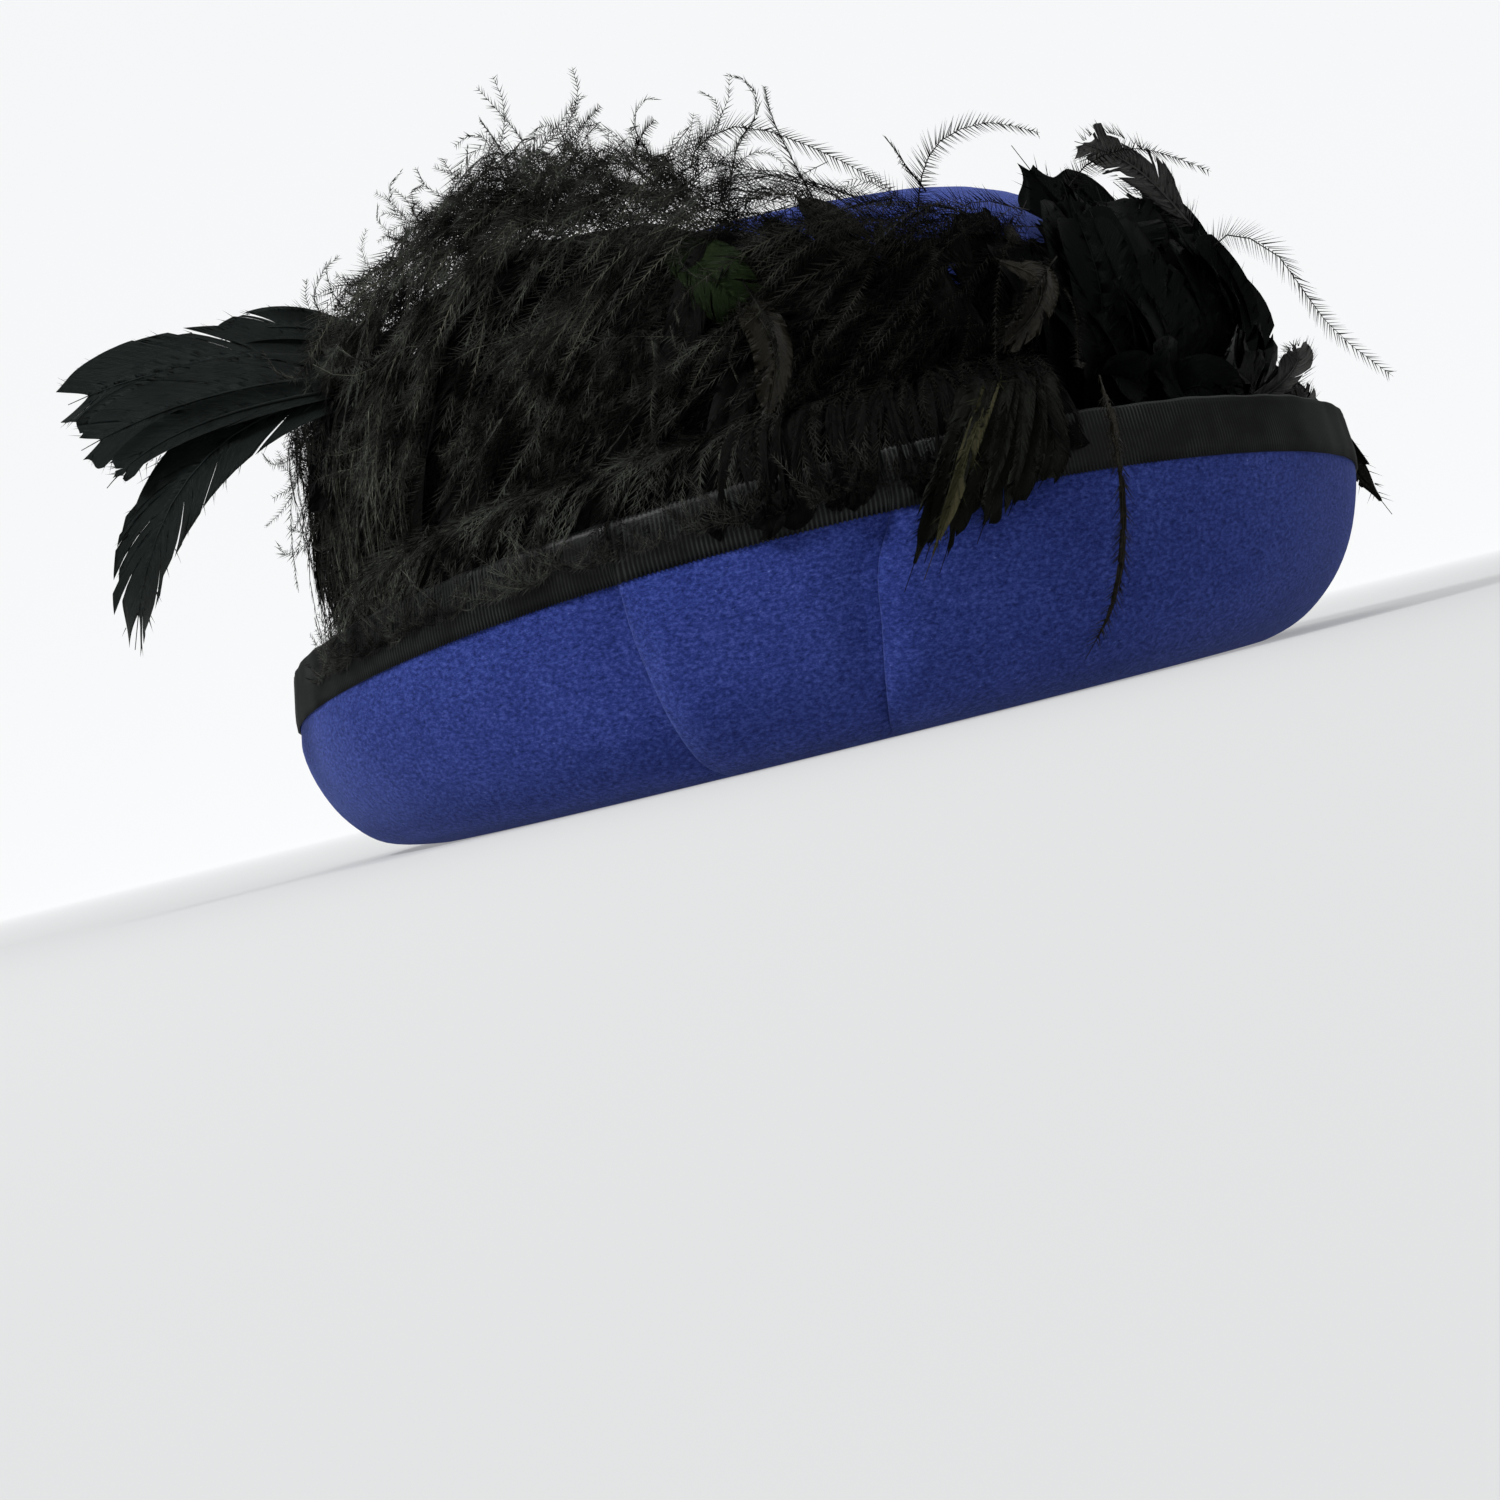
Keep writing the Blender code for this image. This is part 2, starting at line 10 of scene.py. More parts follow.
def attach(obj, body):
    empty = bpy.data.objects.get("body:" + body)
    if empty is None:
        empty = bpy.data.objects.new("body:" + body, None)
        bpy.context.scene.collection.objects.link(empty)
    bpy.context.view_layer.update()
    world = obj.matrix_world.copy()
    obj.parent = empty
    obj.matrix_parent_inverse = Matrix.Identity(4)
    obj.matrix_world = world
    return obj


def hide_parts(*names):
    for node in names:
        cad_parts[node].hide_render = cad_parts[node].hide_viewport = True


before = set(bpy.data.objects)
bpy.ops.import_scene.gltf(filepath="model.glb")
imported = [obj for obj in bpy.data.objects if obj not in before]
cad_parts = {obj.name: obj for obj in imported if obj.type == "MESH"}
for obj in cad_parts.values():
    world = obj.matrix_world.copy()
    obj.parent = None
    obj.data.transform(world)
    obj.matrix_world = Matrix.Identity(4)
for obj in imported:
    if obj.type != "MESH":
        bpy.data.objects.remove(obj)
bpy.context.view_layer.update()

# The felt brim.
# One piece of wool felt, steamed over a block and turned up all round into a deep trough, with two tucks
# stitched into the wearer's right side. It rests on its foot, and its collar stands inside the crown.
MM = 0.001
FELT_THICK = 2.5
# Half width, reach to the front and reach to the back, in millimetres as all sizes here
HEAD_HALF_SIZES = (82.5, 100.0, 100.0)
RIM_HALF_SIZES = (155.0, 171.5, 169.0)
# Height, share of the rim's height, half width and reaches, share of the tucks' depth
BRIM_ROWS = np.array((
    (42, 0.00, *HEAD_HALF_SIZES, 0.0),
    (31, 0.00, *HEAD_HALF_SIZES, 0.0),
    (14, 0.00, 90.5, 106.5, 107.0, 0.0),
    (0, 0.00, 104.0, 117.0, 119.0, 0.0),
    (0, 0.00, 122.0, 133.0, 137.0, 0.2),
    (0, 0.07, 135.0, 146.0, 154.5, 0.8),
    (0, 0.22, 144.5, 157.5, 164.5, 1.0),
    (0, 0.40, 149.8, 165.3, 170.2, 1.0),
    (0, 0.64, 153.8, 171.0, 173.1, 0.9),
    (-15, 1.00, 154.8, 172.4, 172.0, 0.35),
    (0, 1.00, *RIM_HALF_SIZES, 0.2),
))
# Steps from row to row, and one of the rows of steps that stands on the wall
SPANS_BETWEEN_ROWS = (3, 5, 4, 4, 5, 5, 4, 4, 5, 4)
WALL_ROW = 36
RIM_AT_ENDS, RIM_AT_SIDES, RIM_RISE = 59.0, 76.0, 1.2
# Fold line at the rim and at the foot, depth, and how far round the raised panel in front of it runs out
TUCKS = ((159.7, 162.2, 5.0, 21.0), (186.0, 182.2, 4.0, 26.0))
# How far round a fold's slant is felt, and how its panel falls away
SLANT_REACH, PANEL_FALL = 12, 1.2
# How deep the felt dips behind a fold, and over how many degrees
TUCK_DIP, DIP_FADE = 4.2, 6.0
# How far the fold laps over that dip, where most, and over how many degrees
TUCK_LAP, LAP_PLACE, LAP_WIDTH = 1.5, 0.75, 0.60
LIP_FROM, LIP_OVER = -0.45, 2.7
FOLD_COLUMNS = (-6, -4.5, -3.2, -2.2, -1.4, -0.9, -0.6, -0.45, -0.3, -0.15, 0, 0.15, 0.3, 0.45, 0.6, 0.8,
                1.05, 1.4, 2.0, 3.0, 4.2, 5.6)
# Columns round the rest of the hat, and how far off a fold they stay
EVEN_COLUMNS, FOLD_ROOM = 225, 6.6
# Size and height of the felt's broad and fine swells, where they start above the foot, and where they end
SWELLS = ((55, 0.9), (19, 0.25))
SWELL_FOOT, SWELL_GROWTH = 2, 20
SWELL_FIRST_ROW, SWELL_LAST_ROW, SWELL_FADE = 13, 34, 8
# How close points are merged, on a profile of unit points and in metres
SAME_COLUMN, SAME_POINT = 0.0005, 1e-6


def smooth_through(points, knots, places):
    """A smooth curve through rows of points, read at places from the first knot to the last."""
    points = np.asarray(points, float)
    shape = (-1,) + (1,) * (points.ndim - 1)
    spans = np.diff(knots).reshape(shape)
    slopes = np.diff(points, axis=0) / spans
    inner = (slopes[:-1] * spans[1:] + slopes[1:] * spans[:-1]) / (spans[1:] + spans[:-1])
    slopes = np.concatenate([slopes[:1], inner, slopes[-1:]])
    index = np.clip(np.searchsorted(knots, places, side="right") - 1, 0, len(spans) - 1)
    span = spans[index]
    share = ((np.asarray(places) - np.asarray(knots)[index]).reshape(shape)) / span
    rise = share * share * (3 - 2 * share)
    return (points[index] * (1 - rise) + points[index + 1] * rise
            + slopes[index] * span * share * (1 - share) ** 2
            - slopes[index + 1] * span * share ** 2 * (1 - share))


def smooth_step(value):
    value = np.clip(value, 0, 1)
    return value * value * (3 - 2 * value)


def unit(vectors):
    return vectors / np.maximum(np.linalg.norm(vectors, axis=-1, keepdims=True), 1e-12)


def oval_point(side, front, back, degrees):
    """Points of an oval seen from above; its front and back halves are half ellipses."""
    angle = np.radians(degrees)
    reach = np.where(np.sin(angle) > 0, back, front)
    return np.stack([side * np.cos(angle), reach * np.sin(angle), 0 * angle + 0 * side], -1)


def oval_out(side, front, back, degrees):
    """The way out of the oval at an angle."""
    angle = np.radians(degrees)
    reach = np.where(np.sin(angle) > 0, back, front)
    return unit(np.stack([np.cos(angle) / side, np.sin(angle) / reach, 0 * angle + 0 * side], -1))


def rim_height(degrees):
    return RIM_AT_ENDS + (RIM_AT_SIDES - RIM_AT_ENDS) * np.abs(np.cos(np.radians(degrees))) ** RIM_RISE


def brim_columns(degrees, tucked=1.0):
    """Points of the brim's outer skin on its rows: [row, column]."""
    height, share, side, front, back, tuck = (column[:, None] for column in BRIM_ROWS.T)
    nominal = np.asarray(degrees, float)[None, :] + 0 * share
    angle = nominal.copy()
    offset = np.zeros_like(angle)
    for rim_angle, foot_angle, depth, fade in TUCKS:
        middle = (rim_angle + foot_angle) / 2
        line = foot_angle + (rim_angle - foot_angle) * share
        angle += (line - middle) * np.clip(1 - np.abs(nominal - middle) / SLANT_REACH, 0, 1)
        ahead = angle - line
        lip = smooth_step((ahead - LIP_FROM) / LIP_OVER)
        proud = depth * np.clip(1 - np.maximum(ahead, 0) / fade, 0, 1) ** PANEL_FALL
        behind = -TUCK_DIP * np.clip(1 + np.minimum(ahead, 0) / DIP_FADE, 0, 1)
        near = (ahead > -DIP_FADE) & (ahead < fade)
        offset += np.where(near, proud * lip + behind * (1 - lip), 0)
        angle -= TUCK_LAP * np.exp(-((ahead - LAP_PLACE) / LAP_WIDTH) ** 2) * tuck * tucked
    point = oval_point(side, front, back, angle)
    point += oval_out(side, front, back, angle) * (offset * tuck * tucked)[..., None]
    point[..., 2] = height + share * rim_height(angle)
    return point


def brim_knots(columns):
    """Distances along the brim's rows, the same for every column."""
    steps = np.linalg.norm(np.diff(columns, axis=0), axis=-1).mean(1)
    return np.concatenate([[0], np.cumsum(steps)])


def finer(knots, spans):
    """Places between the knots, so many to each."""
    places = [np.linspace(knots[i], knots[i + 1], spans[i] + 1)[:-1] for i in range(len(spans))]
    return np.concatenate([*places, knots[-1:]])


def skin_out(skin, row, outward):
    """The way out of a skin at each of its points; in the first column of a row it is roughly outward."""
    along = np.gradient(skin, axis=0)
    around = np.roll(skin, -1, axis=1) - np.roll(skin, 1, axis=1)
    out = unit(np.cross(around, along))
    return out if out[row, 0] @ outward > 0 else -out


def faced_out(mesh):
    """The closed mesh with its faces turned outwards."""
    if mesh.calc_volume(signed=True) < 0:
        bmesh.ops.reverse_faces(mesh, faces=mesh.faces)
    return mesh


def turned(rings, closed, mark=()):
    """A profile of unit points spun round the Z axis, each point of which then goes to rings[row, column]."""
    rows, columns = rings.shape[:2]
    mesh = bmesh.new()
    profile = [mesh.verts.new((1, 0, row)) for row in range(rows)]
    edges = [mesh.edges.new(pair) for pair in zip(profile, profile[1:])]
    if closed:
        edges.append(mesh.edges.new((profile[-1], profile[0])))
    bmesh.ops.spin(mesh, geom=profile + edges, cent=(0, 0, 0), axis=(0, 0, 1), angle=2 * math.pi,
                   steps=columns, use_merge=True)
    bmesh.ops.remove_doubles(mesh, verts=mesh.verts, dist=SAME_COLUMN)
    mark_layer = mesh.verts.layers.float.new("rib") if mark else None
    for vert in mesh.verts:
        column = round(math.atan2(vert.co.y, vert.co.x) / (2 * math.pi) * columns) % columns
        if mark:
            vert[mark_layer] = mark[column % len(mark)]
        vert.co = rings[round(vert.co.z), column] * MM
    bmesh.ops.remove_doubles(mesh, verts=mesh.verts, dist=SAME_POINT)
    return faced_out(mesh)


def piece_of(name, mesh, material, node):
    """The bmesh, or a made mesh, as a piece that rides on the hat and stands for a CAD node."""
    data = mesh
    if isinstance(mesh, bmesh.types.BMesh):
        data = bpy.data.meshes.new(name)
        mesh.to_mesh(data)
        mesh.free()
    data.shade_smooth()
    data.materials.append(material)
    piece = bpy.data.objects.new(name, data)
    bpy.context.scene.collection.objects.link(piece)
    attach(piece, "root")
    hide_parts(node)


class Finish:
    """A Principled material under construction: constants on the shader, patterns added by its methods."""

    def __init__(self, name, colour, roughness, **constants):
        self.material = bpy.data.materials.new(name)
        self.material.use_nodes = True
        self.tree = self.material.node_tree
        self.shader = self.tree.nodes["Principled BSDF"]
        self.shader.inputs["Base Color"].default_value = (*colour, 1)
        self.shader.inputs["Roughness"].default_value = roughness
        for socket, value in constants.items():
            self.shader.inputs[socket.replace("_", " ")].default_value = value

    def node(self, kind, **inputs):
        """A node with its inputs set, or linked where the value is another node's output."""
        made = self.tree.nodes.new(kind)
        for socket, value in inputs.items():
            target = made.inputs[int(socket[2:]) if socket.startswith("in") else socket.replace("_", " ")]
            if isinstance(value, bpy.types.NodeSocket):
                self.tree.links.new(value, target)
            else:
                target.default_value = value
        return made

    def coordinates(self, kind="Object", stretch=(1, 1, 1)):
        source = self.node("ShaderNodeTexCoord").outputs[kind]
        return self.node("ShaderNodeMapping", Vector=source, Scale=stretch).outputs["Vector"]

    def place(self, axis, kind="Object"):
        return self.node("ShaderNodeSeparateXYZ", Vector=self.coordinates(kind)).outputs[axis]

    def grain(self, vector, scale, detail=3.0, roughness=0.6):
        return self.node("ShaderNodeTexNoise", Vector=vector, Scale=scale, Detail=detail,
                         Roughness=roughness).outputs["Fac"]

    def ramp(self, value, *stops):
        """Colours by value; each stop is a place and a colour."""
        made = self.node("ShaderNodeValToRGB", Fac=value)
        for index, (place, colour) in enumerate(stops):
            element = made.color_ramp.elements[index] if index < 2 else made.color_ramp.elements.new(place)
            element.position = place
            element.color = (*colour, 1)
        return made.outputs["Color"]

    def greys(self, value, *stops):
        """Greys by value; each stop is a place and a grey."""
        return self.ramp(value, *((place, (grey, grey, grey)) for place, grey in stops))

    def multiply(self, first, *others):
        """A colour times the others."""
        for other in others:
            made = self.tree.nodes.new("ShaderNodeMix")
            made.data_type = "RGBA"
            made.blend_type = "MULTIPLY"
            made.inputs[0].default_value = 1.0
            self.tree.links.new(first, made.inputs[6])
            self.tree.links.new(other, made.inputs[7])
            first = made.outputs[2]
        return first

    def colour(self, value):
        self.tree.links.new(value, self.shader.inputs["Base Color"])

    def bump(self, height, strength, distance, under=None):
        made = self.node("ShaderNodeBump", Strength=strength, Distance=distance, Height=height)
        if under is not None:
            self.tree.links.new(under, made.inputs["Normal"])
        self.tree.links.new(made.outputs["Normal"], self.shader.inputs["Normal"])
        return made.outputs["Normal"]


def felt_finish():
    """Brushed wool felt: short nap that lies round the hat, mottled a little, with stray pale fibres."""
    felt = Finish("wool_felt", (0.03, 0.05, 0.2), 0.85, Sheen_Weight=0.30, Sheen_Roughness=0.35,
                  Sheen_Tint=(0.35, 0.45, 1.0, 1), Specular_IOR_Level=0.05)
    nap = felt.grain(felt.coordinates(stretch=(1, 1, 1.7)), 620, 6.0, 0.75)
    cloud = felt.grain(felt.coordinates(), 26, 4.0, 0.6)
    specks = felt.grain(felt.coordinates(stretch=(1, 1, 2)), 900, 1.0, 0.4)
    blue = felt.ramp(nap, (0.34, (0.007, 0.013, 0.075)), (0.50, (0.021, 0.036, 0.180)),
                     (0.68, (0.055, 0.080, 0.310)))
    broad = felt.ramp(cloud, (0.30, (0.80, 0.82, 0.86)), (0.70, (1.20, 1.16, 1.12)))
    pale = felt.ramp(specks, (0.74, (1, 1, 1)), (0.79, (2.8, 2.4, 1.5)))
    felt.colour(felt.multiply(blue, broad, pale))
    fine = felt.bump(felt.grain(felt.coordinates(stretch=(1, 1, 2)), 1400, 2.0), 0.35, 0.0004)
    felt.bump(nap, 0.6, 0.0009, under=fine)
    return felt.material


FELT = felt_finish()

fold_middles = [(tuck[0] + tuck[1]) / 2 for tuck in TUCKS]
column_angles = sorted(
    [angle for angle in np.arange(EVEN_COLUMNS) * 360 / EVEN_COLUMNS
     if all(abs(angle - middle) > FOLD_ROOM for middle in fold_middles)]
    + [middle + place for middle in fold_middles for place in FOLD_COLUMNS])
brim_rows = brim_columns(column_angles)
knots = brim_knots(brim_rows)
skin_places = finer(knots, SPANS_BETWEEN_ROWS)
outer_skin = smooth_through(brim_rows, knots, skin_places)
plain_skin = smooth_through(brim_columns(column_angles, 0.0), knots, skin_places)
for row, column in np.ndindex(outer_skin.shape[:2]):
    if row < SWELL_FIRST_ROW:
        continue
    point = Vector(outer_skin[row, column])
    swell = sum(noise.noise(point / size) * height for size, height in SWELLS)
    risen = min(max((plain_skin[row, column, 2] - SWELL_FOOT) / SWELL_GROWTH, 0), 1)
    settled = risen * (1 - smooth_step((row - SWELL_LAST_ROW) / SWELL_FADE))
    outward = Vector((point.x, point.y, 0)).normalized()
    outer_skin[row, column] += np.array(outward) * swell * settled
outer_skin[..., 2] = np.maximum(outer_skin[..., 2], 0)
plain_skin[..., 2] = np.maximum(plain_skin[..., 2], 0)
inner_skin = plain_skin - skin_out(plain_skin, WALL_ROW, np.array((1.0, 0, 0))) * FELT_THICK
brim_mesh = turned(np.concatenate([outer_skin, inner_skin[::-1]]), closed=True)
piece_of("felt_brim", brim_mesh, FELT, "brim")

# The ribbon that binds the brim's edge.
# Black grosgrain, folded over the cut edge of the felt and stitched through close to both its edges. Its ribs
# run across it, and where it goes round the tucks it steps with them.
RIB_COUNT = 900
RIB_PROFILE = (0.0, 1.0)
RIB_DEPTH, SCALLOP = 0.36, 0.5
RIBBON_LIFT, RIBBON_THICK = 1.0, 0.5
# The last span of the brim's rows is as wide as the ribbon; it is cut into steps, and the edge hugs the felt
EDGE_STEPS, EDGE_HUG, HUG_STEP = 5, 0.45, 0.4
FOLD_TURNS = (30, 60, 90, 120, 150)
FOLD_FOOT, FOLD_RISE = 0.5, 1.4
# Waves round the hat, where they start, and depth
RUFFLES = ((61, 0, 0.12), (23, 1, 0.15))
LINING_STEP = 4


def ribbon_finish():
    """Black grosgrain ribs over a weft: painted highlight on the rib crests, painted shade in the hollows."""
    ribbon = Finish("black_grosgrain", (0.004, 0.0045, 0.005), 0.38, Specular_IOR_Level=0.13)
    threads = ribbon.grain(ribbon.coordinates(stretch=(1, 1, 4)), 900, 3.0)
    # Painted highlight and shade: the colour is light where the rib mark is high, on the crests, and near
    # black in the hollows.
    height = ribbon.node("ShaderNodeAttribute")
    height.attribute_name = "rib"
    painted_shading = ribbon.ramp(height.outputs["Fac"], (0.40, (0.0004, 0.0005, 0.0005)),
                        (0.95, (0.020, 0.022, 0.0215)))
    wear = ribbon.greys(ribbon.grain(ribbon.coordinates(), 55, 3.0), (0.38, 0.30), (0.66, 1.4))
    ribbon.colour(ribbon.multiply(painted_shading, wear))
    ribbon.bump(threads, 0.4, 0.0002)
    return ribbon.material


ribbon_columns = RIB_COUNT * len(RIB_PROFILE)
ribbon_angles = np.arange(ribbon_columns) * 360 / ribbon_columns
edge_skin = smooth_through(brim_columns(ribbon_angles), knots, finer(knots[-2:], (EDGE_STEPS,)))
edge_out = oval_out(*RIM_HALF_SIZES, ribbon_angles)
up = np.array((0, 0, 1.0))
fold_centre = edge_skin[-1] - edge_out * FELT_THICK / 2
lifts = [RIBBON_LIFT * min(1, EDGE_HUG + HUG_STEP * step) for step in range(EDGE_STEPS + 1)]
ribbon_rows = [skin + edge_out * lift for skin, lift in zip(edge_skin, lifts)]
for turn in FOLD_TURNS:
    bend = math.radians(turn)
    ribbon_rows.append(fold_centre + edge_out * (FELT_THICK / 2 + RIBBON_LIFT) * math.cos(bend)
                       + up * (FOLD_FOOT + FOLD_RISE * math.sin(bend)))
ribbon_rows += [skin - edge_out * (FELT_THICK + lift) for skin, lift in zip(edge_skin[::-1], lifts[::-1])]
outer_ribbon = np.array(ribbon_rows)
ribbon_out = skin_out(outer_ribbon, 2, edge_out[0])
rib = np.array(RIB_PROFILE)[np.arange(ribbon_columns) % len(RIB_PROFILE)]
ruffle = sum(np.sin(np.radians(ribbon_angles) * waves + start) * depth for waves, start, depth in RUFFLES)
lining = (outer_ribbon - ribbon_out * RIBBON_THICK)[::LINING_STEP]
outer_ribbon = outer_ribbon + ribbon_out * (rib * RIB_DEPTH + ruffle)[None, :, None]
outer_ribbon[0] -= up * (rib * SCALLOP)[:, None]
ribbon_mesh = turned(np.concatenate([outer_ribbon, lining[::-1]]), closed=True, mark=RIB_PROFILE)
piece_of("grosgrain_binding", ribbon_mesh, ribbon_finish(), "brim_binding")

# The crown.
# A round dome of the same felt, blocked separately, its lower edge lapped over the brim's collar and stitched
# to it. The trim hides all of it but its top.
CROWN_EDGE, CROWN_SHOULDER, CROWN_TOP = 33.0, 110.0, 165.0
CROWN_GROWTH, CROWN_FLARE, DOME_SQUARENESS = 5.3, 3.2, 3.75
CROWN_FOOT_SIZES = (87.8, 105.3, 105.3)
CROWN_COLUMNS, WALL_ROWS = 150, 8
DOME_TURNS = (0, 7, 14, 22, 30, 38, 46, 54, 62, 69, 75, 80, 84, 87, 90)
CROWN_SWELL, CROWN_SWELL_SIZE, SETTLED_ROWS = 0.8, 40, 6
SWELL_CENTRE, LINING_CENTRE = 90, 70.0


def crown_sizes(height):
    """Half width and reaches of the crown's outer oval at a height."""
    flare = CROWN_FLARE * np.clip((height - CROWN_EDGE) / (CROWN_SHOULDER - CROWN_EDGE), 0, 1)
    rise = np.clip((height - CROWN_SHOULDER) / (CROWN_TOP - CROWN_SHOULDER), 0, 1)
    share = np.maximum(1 - rise ** DOME_SQUARENESS, 0) ** (1 / DOME_SQUARENESS)
    return [(half + CROWN_GROWTH + flare) * share for half in HEAD_HALF_SIZES]


wall_heights = np.linspace(CROWN_EDGE, CROWN_SHOULDER, WALL_ROWS + 1)[:-1]
dome_rise = np.sin(np.radians(np.array(DOME_TURNS))) ** (2 / DOME_SQUARENESS)
dome_heights = CROWN_SHOULDER + (CROWN_TOP - CROWN_SHOULDER) * dome_rise
crown_heights = np.concatenate([wall_heights, dome_heights])[:, None]
crown_angles = np.arange(CROWN_COLUMNS)[None, :] * 360 / CROWN_COLUMNS
crown_skin = oval_point(*crown_sizes(crown_heights), crown_angles) + up * crown_heights[..., None]
for row, column in np.ndindex(len(crown_heights) - 1, CROWN_COLUMNS):
    settled = min(row / SETTLED_ROWS, 1)
    outward = Vector(crown_skin[row, column]) - Vector((0, 0, SWELL_CENTRE))
    swell = settled * CROWN_SWELL * noise.noise(outward / CROWN_SWELL_SIZE)
    crown_skin[row, column] += np.array(outward.normalized()) * swell
crown_lining = crown_skin - unit(crown_skin - up * LINING_CENTRE) * FELT_THICK
wall_out = oval_out(*CROWN_FOOT_SIZES, crown_angles[0])
crown_lining[:WALL_ROWS + 1] = crown_skin[:WALL_ROWS + 1] - wall_out * FELT_THICK
crown_mesh = turned(np.concatenate([crown_skin[::-1], crown_lining]), closed=False)
piece_of("felt_crown", crown_mesh, FELT, "crown")

# The ostrich trim.
# Flues of ostrich, each a fine quill with loose barbs on both sides, are bound in bunches along a soft band
# that is stitched round the back and sides of the crown, near black as painted shade for the trim's depths.
# They sweep back and hang over the ribbon.
TRIM_ANGLES = (-30, 0, 45, 90, 120, 150, 178, 196, 214, 240, 270, 300, 330)
TRIM_REACHES = (33, 34, 38, 40, 40, 38, 36, 35, 34, 36, 38, 36, 33)
TRIM_TOPS = (116, 126, 142, 146, 156, 176, 163, 138, 118, 124, 134, 124, 116)
FEATHER_TOPS = (112, 120, 138, 148, 161, 178, 164, 147, 138, 131, 125, 120, 114)
TRIM_FOOT, TRIM_GAP = 50.0, 0.5
# Reach and lift of the band's section, as shares of the trim's
BAND_SECTION = ((0.00, 0.02), (0.45, 0.02), (0.78, 0.16), (0.86, 0.40), (0.76, 0.66), (0.50, 0.84),
                (0.14, 0.92), (0.00, 0.56))
BAND_SIDES, BAND_SPAN = 24, 3.5
LUMP_SEED, LUMP_SIZE, LUMPS_FROM = 5, 14, 0.1
ACROSS_FLAT = (0.0, 1.0, 0.0)
# The quill's bare foot, the share of full length that barbs have there, and where they reach all of it
BARBS_FROM, FOOT_BARBS, FULL_FROM = 0.04, 0.45, 0.15
# What barbs lose towards the tip, how late, how far they lean less there, and how much their lengths vary
TIP_LOSS, LOSS_CURVE, TIP_LEAN, LENGTH_RANGE = 0.66, 1.6, 10, (0.82, 1.08)
# Waves and strays of the barbs, in degrees, and where along it a barb bends
DROOP, DROOP_WAVES, DROOP_DEPTH, LEAN_STRAY, DROOP_STRAY, BARB_BEND = 16, 9, 0.9, 4.5, 9, 0.45
TIP_NUDGE = np.array((0.0, -0.2, 0.5))
# How far the trim's feathers sway; shares of their swing and of their jitter at root, middle and tip
SWAY, SWING_SHARES, JITTER_SHARES = 1.6, (0, 0.42, 1), (0.8, 0.8, 1.3)
# Feathers swing to the back on either side of it, less near it
BACK, NEAR_BACK = 90, 40
CURL_LONGEST = 24.0
# Half sizes of the brim's mouth, the trough's floor, and how far over the mouth the ribbon reaches
MOUTH, TROUGH_FLOOR, OVER_RIBBON = (152, 168), 4.0, 1.02


def on_trim(degrees, reach_share, lift, tops=FEATHER_TOPS):
    """Points at shares of the trim's reach off the crown and of its height."""
    angle = (np.asarray(degrees, float) - TRIM_ANGLES[0]) % 360 + TRIM_ANGLES[0]
    reach = np.interp(angle, TRIM_ANGLES, TRIM_REACHES)
    height = TRIM_FOOT + lift * (np.interp(angle, TRIM_ANGLES, tops) - TRIM_FOOT)
    sizes = crown_sizes(np.minimum(height, CROWN_SHOULDER))
    off = TRIM_GAP + reach_share * reach
    point = oval_point(*sizes, angle) + oval_out(*sizes, angle) * off[..., None]
    point[..., 2] = height
    return point


def spike(root, tip, length, sides, base=0.0):
    """A cone or cylinder along +Z from a base."""
    mesh = bmesh.new()
    bmesh.ops.create_cone(mesh, cap_ends=True, segments=sides, radius1=root, radius2=tip, depth=length,
                          matrix=Matrix.Translation((0, 0, base + length / 2)))
    return mesh


def sliced(mesh, length, slices):
    """A spike of a length, cut across into slices."""
    upright = [edge for edge in mesh.edges if abs(edge.verts[0].co.z - edge.verts[1].co.z) > length / 2]
    bmesh.ops.subdivide_edges(mesh, edges=upright, cuts=slices - 1, use_grid_fill=True)
    return mesh


def band(first, last, lump):
    """The pad that the feathers are bound to, a bolster that follows the crown's wall."""
    section = np.array(BAND_SECTION + BAND_SECTION[:1])
    noise.seed_set(LUMP_SEED)
    mesh = sliced(spike(1, 1, 1, BAND_SIDES, -0.5), 1, round((last - first) / BAND_SPAN))
    for vert in mesh.verts:
        place = (math.atan2(vert.co.y, vert.co.x) / (2 * math.pi)) % 1 * len(BAND_SECTION)
        reach, lift = smooth_through(section, np.arange(len(section)), np.array([place]))[0]
        angle = np.array(first + (last - first) * (vert.co.z + 0.5))
        point = Vector(on_trim(angle, np.array(max(reach, 0.0)), lift, TRIM_TOPS))
        if reach > LUMPS_FROM:
            point += Vector(noise.noise_vector(point / LUMP_SIZE)) * lump
        vert.co = point * MM
    return faced_out(mesh)


def laid(blank, paths, across, girth=1.0):
    """A blank, which stands along +Z, bent onto every path: [path, point]. across is the way its X lies."""
    points, corners, uvs, length = blank
    steps = paths.shape[1] - 1
    place = np.clip(points[:, 2] / length, 0, 1) * steps
    index = np.minimum(place.astype(int), steps - 1)
    share = (place - index)[None, :, None]
    ahead = unit(np.gradient(paths, axis=1))
    middle = paths[:, index] * (1 - share) + paths[:, index + 1] * share
    forward = unit(ahead[:, index] * (1 - share) + ahead[:, index + 1] * share)
    wide = across[:, None]
    wide = unit(wide - forward * (wide * forward).sum(-1, keepdims=True))
    deep = np.cross(forward, wide)
    girth = np.asarray(girth, float).reshape(-1, 1, 1)
    return middle + (wide * points[None, :, :1] + deep * points[None, :, 1:2]) * girth, corners, uvs


